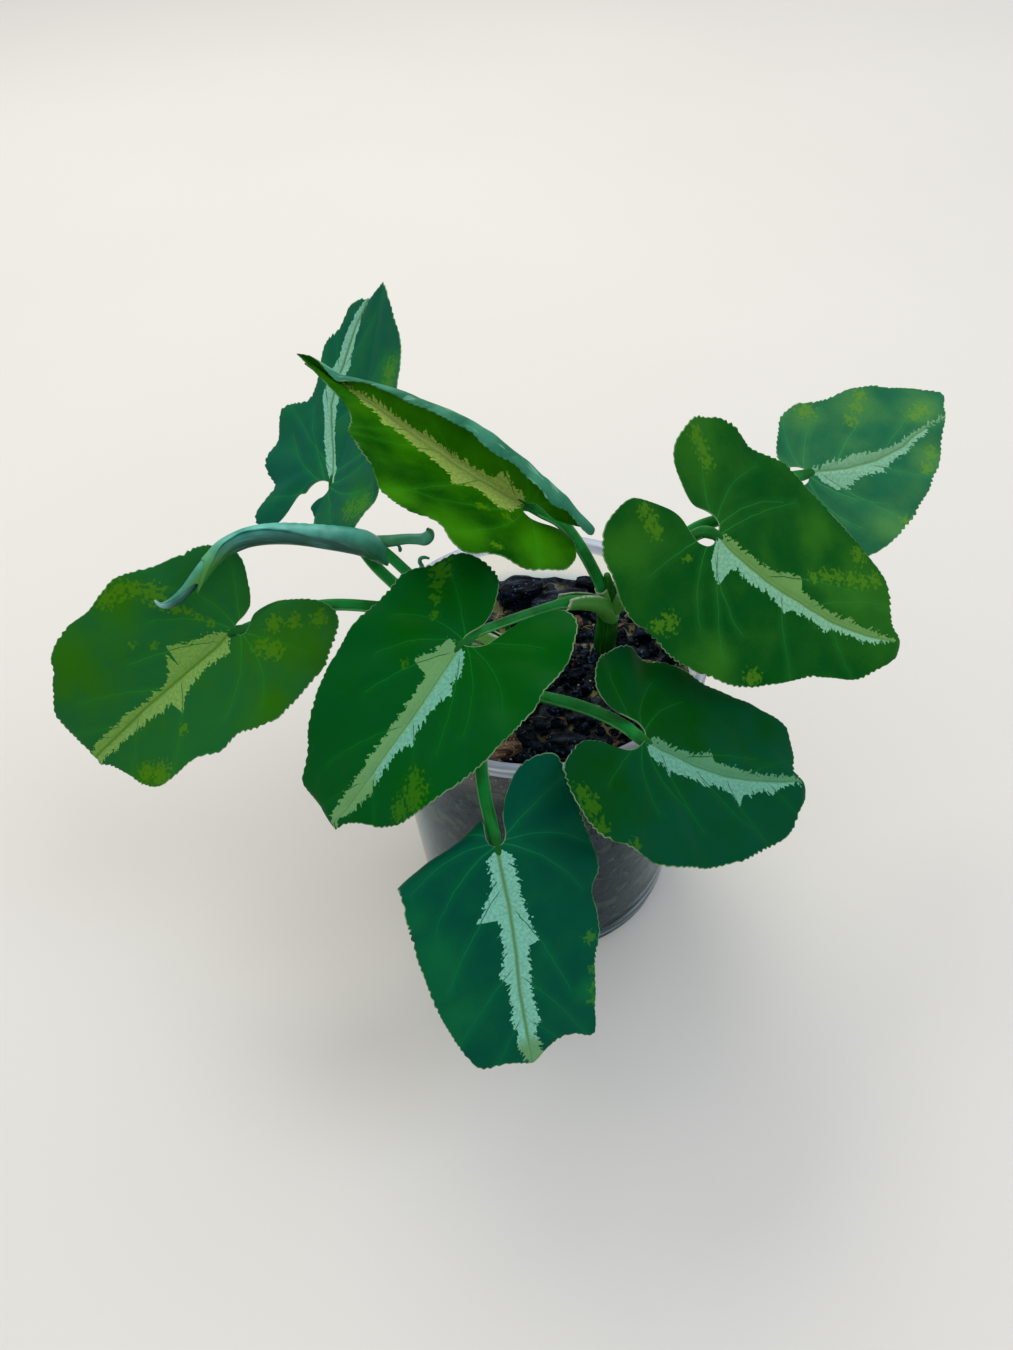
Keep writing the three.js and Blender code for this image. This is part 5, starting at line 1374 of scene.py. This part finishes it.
membrane = Finish("papery_sheath", Roughness=0.5, Specular_IOR_Level=0.2)
sheath_along, sheath_across, sheath_pale = membrane.parts("sheath")
streaks = membrane.noise(membrane.vector(sheath_across, sheath_along, 0.0), 5.0, 3.0, (3.0, 0.4, 1.0))
torn = membrane.step(membrane.noise(membrane.place(), 700.0, 3.0), 0.2, 0.6)
papery = membrane.math("MAXIMUM", membrane.step(sheath_across, 0.86, 0.98),
                       membrane.step(sheath_along, 0.93, 1.0)) * torn
colour = membrane.mix(streaks, srgb(30, 134, 26), srgb(96, 178, 76))
colour = membrane.mix(sheath_pale, colour, srgb(172, 236, 122))
membrane.set("Base Color", membrane.mix(papery, colour, srgb(240, 242, 224)))
membrane.lit_through(0.15, srgb(150, 220, 90))


def grown_piece(node, parts, finishes):
    """The piece that stands for a node, from meshes that grew together."""
    labels = sorted({label for mesh in parts for label in mesh["attributes"]})
    attributes = {label: np.concatenate([
        mesh["attributes"].get(label, np.zeros((len(mesh["points"]), 3))) for mesh in parts])
        for label in labels}
    points, faces, numbers = np.concatenate([mesh["points"] for mesh in parts]), [], []
    start = 0
    for mesh in parts:
        faces += [tuple(n + start for n in face) for face in mesh["faces"]]
        numbers += mesh["finish"]
        start += len(mesh["points"])
    piece(node + "_grown", points, faces, finishes, [node], numbers, attributes)


for number, leaf in enumerate(LEAVES):
    blade = Blade(leaf)
    parts = [blade_mesh(leaf, blade, BLADE_SEED + number), petiole_mesh(leaf, blade),
             sheath_mesh(leaf["petiole"], leaf["sheath"], number, leaf.get("pale", 0.15), 3)]
    finishes = [blade_finish(leaf, blade), underside.material, stalk_green, membrane.material]
    grown_piece(leaf["name"], parts, finishes)


# The furled leaf. The newest blade is still rolled up lengthwise on its stalk and shows only its blue-green
# underside. Its outer turn ends in a pointed flap, from which the inner turns run on as a thin tip. One
# basal lobe stands out at the other end as a narrower roll.
MAIN_ROLL = [
    (-38.6, 6.6, 124.6, 0.3), (-39, 6.8, 126.2, 1.5), (-39.9, 7.2, 128.1, 2.6), (-41.6, 7.4, 130, 3.4),
    (-44.1, 7.4, 131.8, 3.8), (-48.3, 7.6, 133.1, 3.65), (-52.8, 8, 133.9, 3.4), (-57.7, 8.5, 134.7, 3.15),
    (-62.6, 9, 135.2, 3), (-66.9, 9, 135.6, 2.95), (-70.7, 8.6, 135.8, 2.9), (-73.8, 7.8, 135.8, 2.8),
    (-76.9, 6.4, 135.5, 2.7), (-79.7, 4.6, 135.1, 2.55), (-81.7, 3, 134.1, 2.35), (-83.8, 1, 133.2, 2.15),
    (-86.1, -1, 131.6, 2), (-89.5, -3, 128.6, 1.85), (-92.7, -4, 126.5, 1.65), (-95.1, -4.4, 125.6, 1.3),
    (-96.7, -4.4, 125.7, 0.8), (-97.8, -4, 127.1, 0.35)]
MAIN_LAP = [(0, -125), (0.2, -78), (0.32, -58), (0.42, -54), (0.54, -36), (0.68, -22), (0.8, -16),
            (0.88, -28), (0.95, -70), (1, -120)]
LOBE_ROLL = [
    (-44, 8.4, 131, 1.6), (-40.3, 9, 130.6, 1.9), (-36.8, 9.4, 130.4, 1.7), (-32.8, 9.6, 130.5, 1.5),
    (-30, 9.6, 130.2, 1.55), (-28, 9.4, 130.2, 1.9), (-26.8, 9.2, 131.4, 1.7), (-26.5, 9, 132.9, 1.2),
    (-27, 8.8, 133.9, 0.5)]
LOBE_LAP = [(0, -95), (0.5, -100), (0.75, -70), (1, -60)]
FURLED_STALK = [(-5.4, -10.4, 106), (-13, -8, 109.5), (-22.7, -2.4, 115.6), (-32.3, 3.2, 123.2),
                (-38.6, 7, 128.6), (-41.5, 7.6, 131)]
FURLED_SHEATH = 0.35
CURLS = [
    ([(-35.4, 8.6, 129.6), (-34.9, 8.5, 129), (-34.8, 8.3, 128.4), (-34.9, 8.3, 127.7)],
     [0.3, 0.4, 0.55, 0.4]),
    ([(-32.3, 3.2, 123.4), (-30.2, 2.4, 125.4), (-29.1, 2.2, 127), (-29.5, 2.2, 128.4), (-29.2, 2.2, 129.7),
      (-28.2, 2.2, 130), (-26.9, 2.2, 129.5)], [0.3, 0.6, 0.7, 0.6, 0.55, 0.5, 0.3]),
]
CURL_STEPS = 24
CURL_SIDES = 14
MAIN_TURNS = 2.35
LOBE_TURNS = 1.5
MAIN_FLAP = (0.735, 0.84, 0.9)
LOBE_FLAP = (0.9999, 1.0, 0.0)
LOBE_GREEN = 0.45
ROLL_TIGHTENING = 0.32
ROLL_THICKNESS = 0.35
FLAP_ANGLE = math.radians(240)
FLAP_HALF_ANGLE = math.radians(95)


def roll_mesh(roll, lap, turns, steps, around, flap):
    """A sheet rolled up about a route, as two faces and their edge, with its places and how far each point
    faces up, for its painted light and shade.

    Lap gives the angle of the free edge along the roll. Flap gives where the outer turn starts to taper,
    where it ends and how green it is."""
    roll = np.array(roll, float)
    route, ahead = spline(roll[:, :3], 160)
    right, above = frames_along(ahead)
    run = np.linspace(0, 1, len(route))
    knots = np.concatenate([[0], np.cumsum(np.linalg.norm(np.diff(roll[:, :3], axis=0), axis=1))])
    share = np.linspace(0, 1, steps)[:, None]
    span = np.linspace(0, 1, around)[None]
    edge = np.radians(np.interp(share, *np.array(lap, float).T))
    still = math.radians(-60)
    turn = still + (edge - still) * (1 - span) ** 3 + 2 * np.pi * turns * span
    inner = smooth(span * turns, 0.94, 1.25)
    beside = np.abs((turn - FLAP_ANGLE + np.pi) % (2 * np.pi) - np.pi)
    tongue = np.clip(1 - beside / FLAP_HALF_ANGLE, 0, 1)
    last = flap[0] + (flap[1] - flap[0]) * tongue
    along = share * (last + (1 - last) * inner)
    outer = np.interp(along, knots / knots[-1], roll[:, 3])
    radius = outer * (1 - ROLL_TIGHTENING * span)
    lip = 0.1 * outer * np.exp(-span / 0.02) * (1 + 0.5 * np.sin(19 * np.pi * share))
    crest = np.exp(-((turn - 0.7) / 0.35) ** 2) * smooth(share, 0.25, 0.35) * (1 - smooth(share, 0.55, 0.7))
    flare = 0.9 * smooth(share, 0.82, 1.0) * tongue * (1 - inner) * (flap[1] < 1)
    radius = radius + lip + 0.16 * crest * np.abs(np.sin(21 * np.pi * share + 2 * turn)) + flare
    centre, right, above = (np.stack([np.interp(along, run, line[:, axis]) for axis in range(3)], 2)
                            for line in (route, right, above))
    aim = np.sin(turn)[..., None] * right + np.cos(turn)[..., None] * above
    thin = np.minimum(ROLL_THICKNESS, outer * 0.13)[..., None] / 2
    centre = centre + (radius[..., None] - thin) * aim
    points = np.concatenate([(centre + thin * aim).reshape(-1, 3), (centre - thin * aim).reshape(-1, 3)])
    green = flap[2] * smooth(along, flap[0] - 0.16, flap[0] + 0.04) * (1 - inner)
    wrap = np.stack([(along * knots[-1]).ravel(), (turn - edge).ravel(), green.ravel()], 1)
    # How far each point faces up and to the front: the finish paints the roll lighter there and darker
    # beneath.
    side = np.stack([np.cos(turn - 0.8).ravel(), np.zeros(turn.size), np.zeros(turn.size)], 1)
    return part(points, sheet_faces(*turn.shape), 0, wrap=np.tile(wrap, (2, 1)), side=np.tile(side, (2, 1)))


furled = Finish("furled_leaf_underside", Specular_IOR_Level=0.45)
run, around, green = furled.parts("wrap")
upward = furled.parts("side")[0]
sheet = furled.vector(run, around, 0.0)
lines = furled.noise(sheet, 1.0, 3.0, (0.12, 2.6, 1.0))
cloud = furled.noise(sheet, 0.16, 3.0, (1.0, 2.0, 1.0))
# Painted shadow: a dark band on the sheet just before it passes under the free edge that overlaps it.
painted_lap_shadow = furled.step(around, 4.7, 5.9) * (1.0 - green)
colour = furled.mix(furled.step(cloud, 0.3, 0.7), srgb(44, 158, 138), srgb(104, 210, 192))
# Painted shade: the roll is darker on its underside, away from the light, and lighter on top.
colour = furled.mix(furled.step(upward, -0.75, 0.65), srgb(16, 76, 54), colour)
colour = furled.mix(furled.fade(run, 3.0, 15.0) * 0.55, colour, srgb(40, 124, 66))
colour = furled.mix(painted_lap_shadow * 0.5, colour, srgb(6, 84, 76))
colour = furled.mix(furled.step(lines, 0.5, 0.7) * 0.35, colour, srgb(96, 172, 158))
colour = furled.mix(green, colour, srgb(66, 144, 48))
colour = furled.mix(furled.step(run, 64.0, 72.0), colour, srgb(150, 206, 196))
furled.set("Base Color", colour)
furled.set("Roughness", furled.ramp(lines, 0.3, 0.7, 0.5, 0.36))
furled.bump(lines, 0.3, 0.0003)
furled.lit_through(0.12, srgb(40, 150, 60))

parts = [roll_mesh(MAIN_ROLL, MAIN_LAP, MAIN_TURNS, 150, 104, MAIN_FLAP),
         roll_mesh(LOBE_ROLL, LOBE_LAP, LOBE_TURNS, 60, 64, LOBE_FLAP)]
parts[1]["attributes"]["wrap"][:, 2] = LOBE_GREEN
route, ahead = spline(FURLED_STALK, PETIOLE_STEPS)
share = np.linspace(0, 1, PETIOLE_STEPS)
thick = np.interp(share, (0, 0.33, 0.38, 1), (1.9, 1.75, 1.5, 1.4))
points, faces = tube(route, ahead, thick[:, None], PETIOLE_SIDES)
turn = np.linspace(0, 2 * np.pi, PETIOLE_SIDES, endpoint=False)
parts.append(part(points, faces, 1, stalk=stalk_marks(share * 50, turn)))
parts.append(sheath_mesh(FURLED_STALK, FURLED_SHEATH, len(LEAVES), 0.5, 2))
for curl, radii in CURLS:
    route, ahead = spline(curl, CURL_STEPS)
    radius = np.interp(np.linspace(0, 1, CURL_STEPS), np.linspace(0, 1, len(radii)), radii)
    parts.append(part(*tube(route, ahead, radius[:, None], CURL_SIDES), 0))
grown_piece("leaf_furled", parts, [furled.material, stalk_green, membrane.material])


# The floor and the light. The plant stands on a plain pale surface. A soft bright window lies behind it to
# the left, a wide soft light in front of it to the right, and the rest of the room is an even pale grey.
FLOOR_HALF = 2.5
ROOM_STRENGTH = 0.8
floor_mesh = bpy.data.meshes.new("floor")
floor_mesh.from_pydata([(-FLOOR_HALF, -FLOOR_HALF, 0), (FLOOR_HALF, -FLOOR_HALF, 0),
                        (FLOOR_HALF, FLOOR_HALF, 0), (-FLOOR_HALF, FLOOR_HALF, 0)], [], [(0, 1, 2, 3)])
floor = bpy.data.objects.new("floor", floor_mesh)
bpy.context.collection.objects.link(floor)
pale = Finish("pale_floor", Roughness=0.8, Specular_IOR_Level=0.2)
tone = pale.noise(pale.place(), 3.0, 2.0)
pale.set("Base Color", pale.mix(tone, srgb(221, 219, 212), srgb(229, 227, 221)))
floor_mesh.materials.append(pale.material)

world = bpy.data.worlds.new("soft_room_light")
bpy.context.scene.world = world
world.use_nodes = True
room = world.node_tree.nodes["Background"].inputs
room["Color"].default_value = (*srgb(238, 238, 242), 1)
room["Strength"].default_value = ROOM_STRENGTH


def soft_light(name, place, aim, size, power, colour):
    data = bpy.data.lights.new(name, "AREA")
    data.shape = "DISK"
    data.size = size
    data.energy = power
    data.color = colour
    light = bpy.data.objects.new(name, data)
    direction = unit(np.array(place) - np.array(aim))
    right = unit(np.cross((0, 0, 1), direction))
    up = np.cross(direction, right)
    light.matrix_world = Matrix.Translation(place) @ Matrix((right, up, direction)).transposed().to_4x4()
    bpy.context.collection.objects.link(light)


soft_light("window_behind", (-0.3, 0.8, 1.2), (0, 0, 0.1), 0.8, 7.2, srgb(255, 248, 233))
soft_light("room_front", (1.4, -0.6, 2.2), (0.2, 0, 0.1), 1.6, 16, srgb(230, 241, 255))
bpy.context.scene.view_settings.view_transform = "Standard"
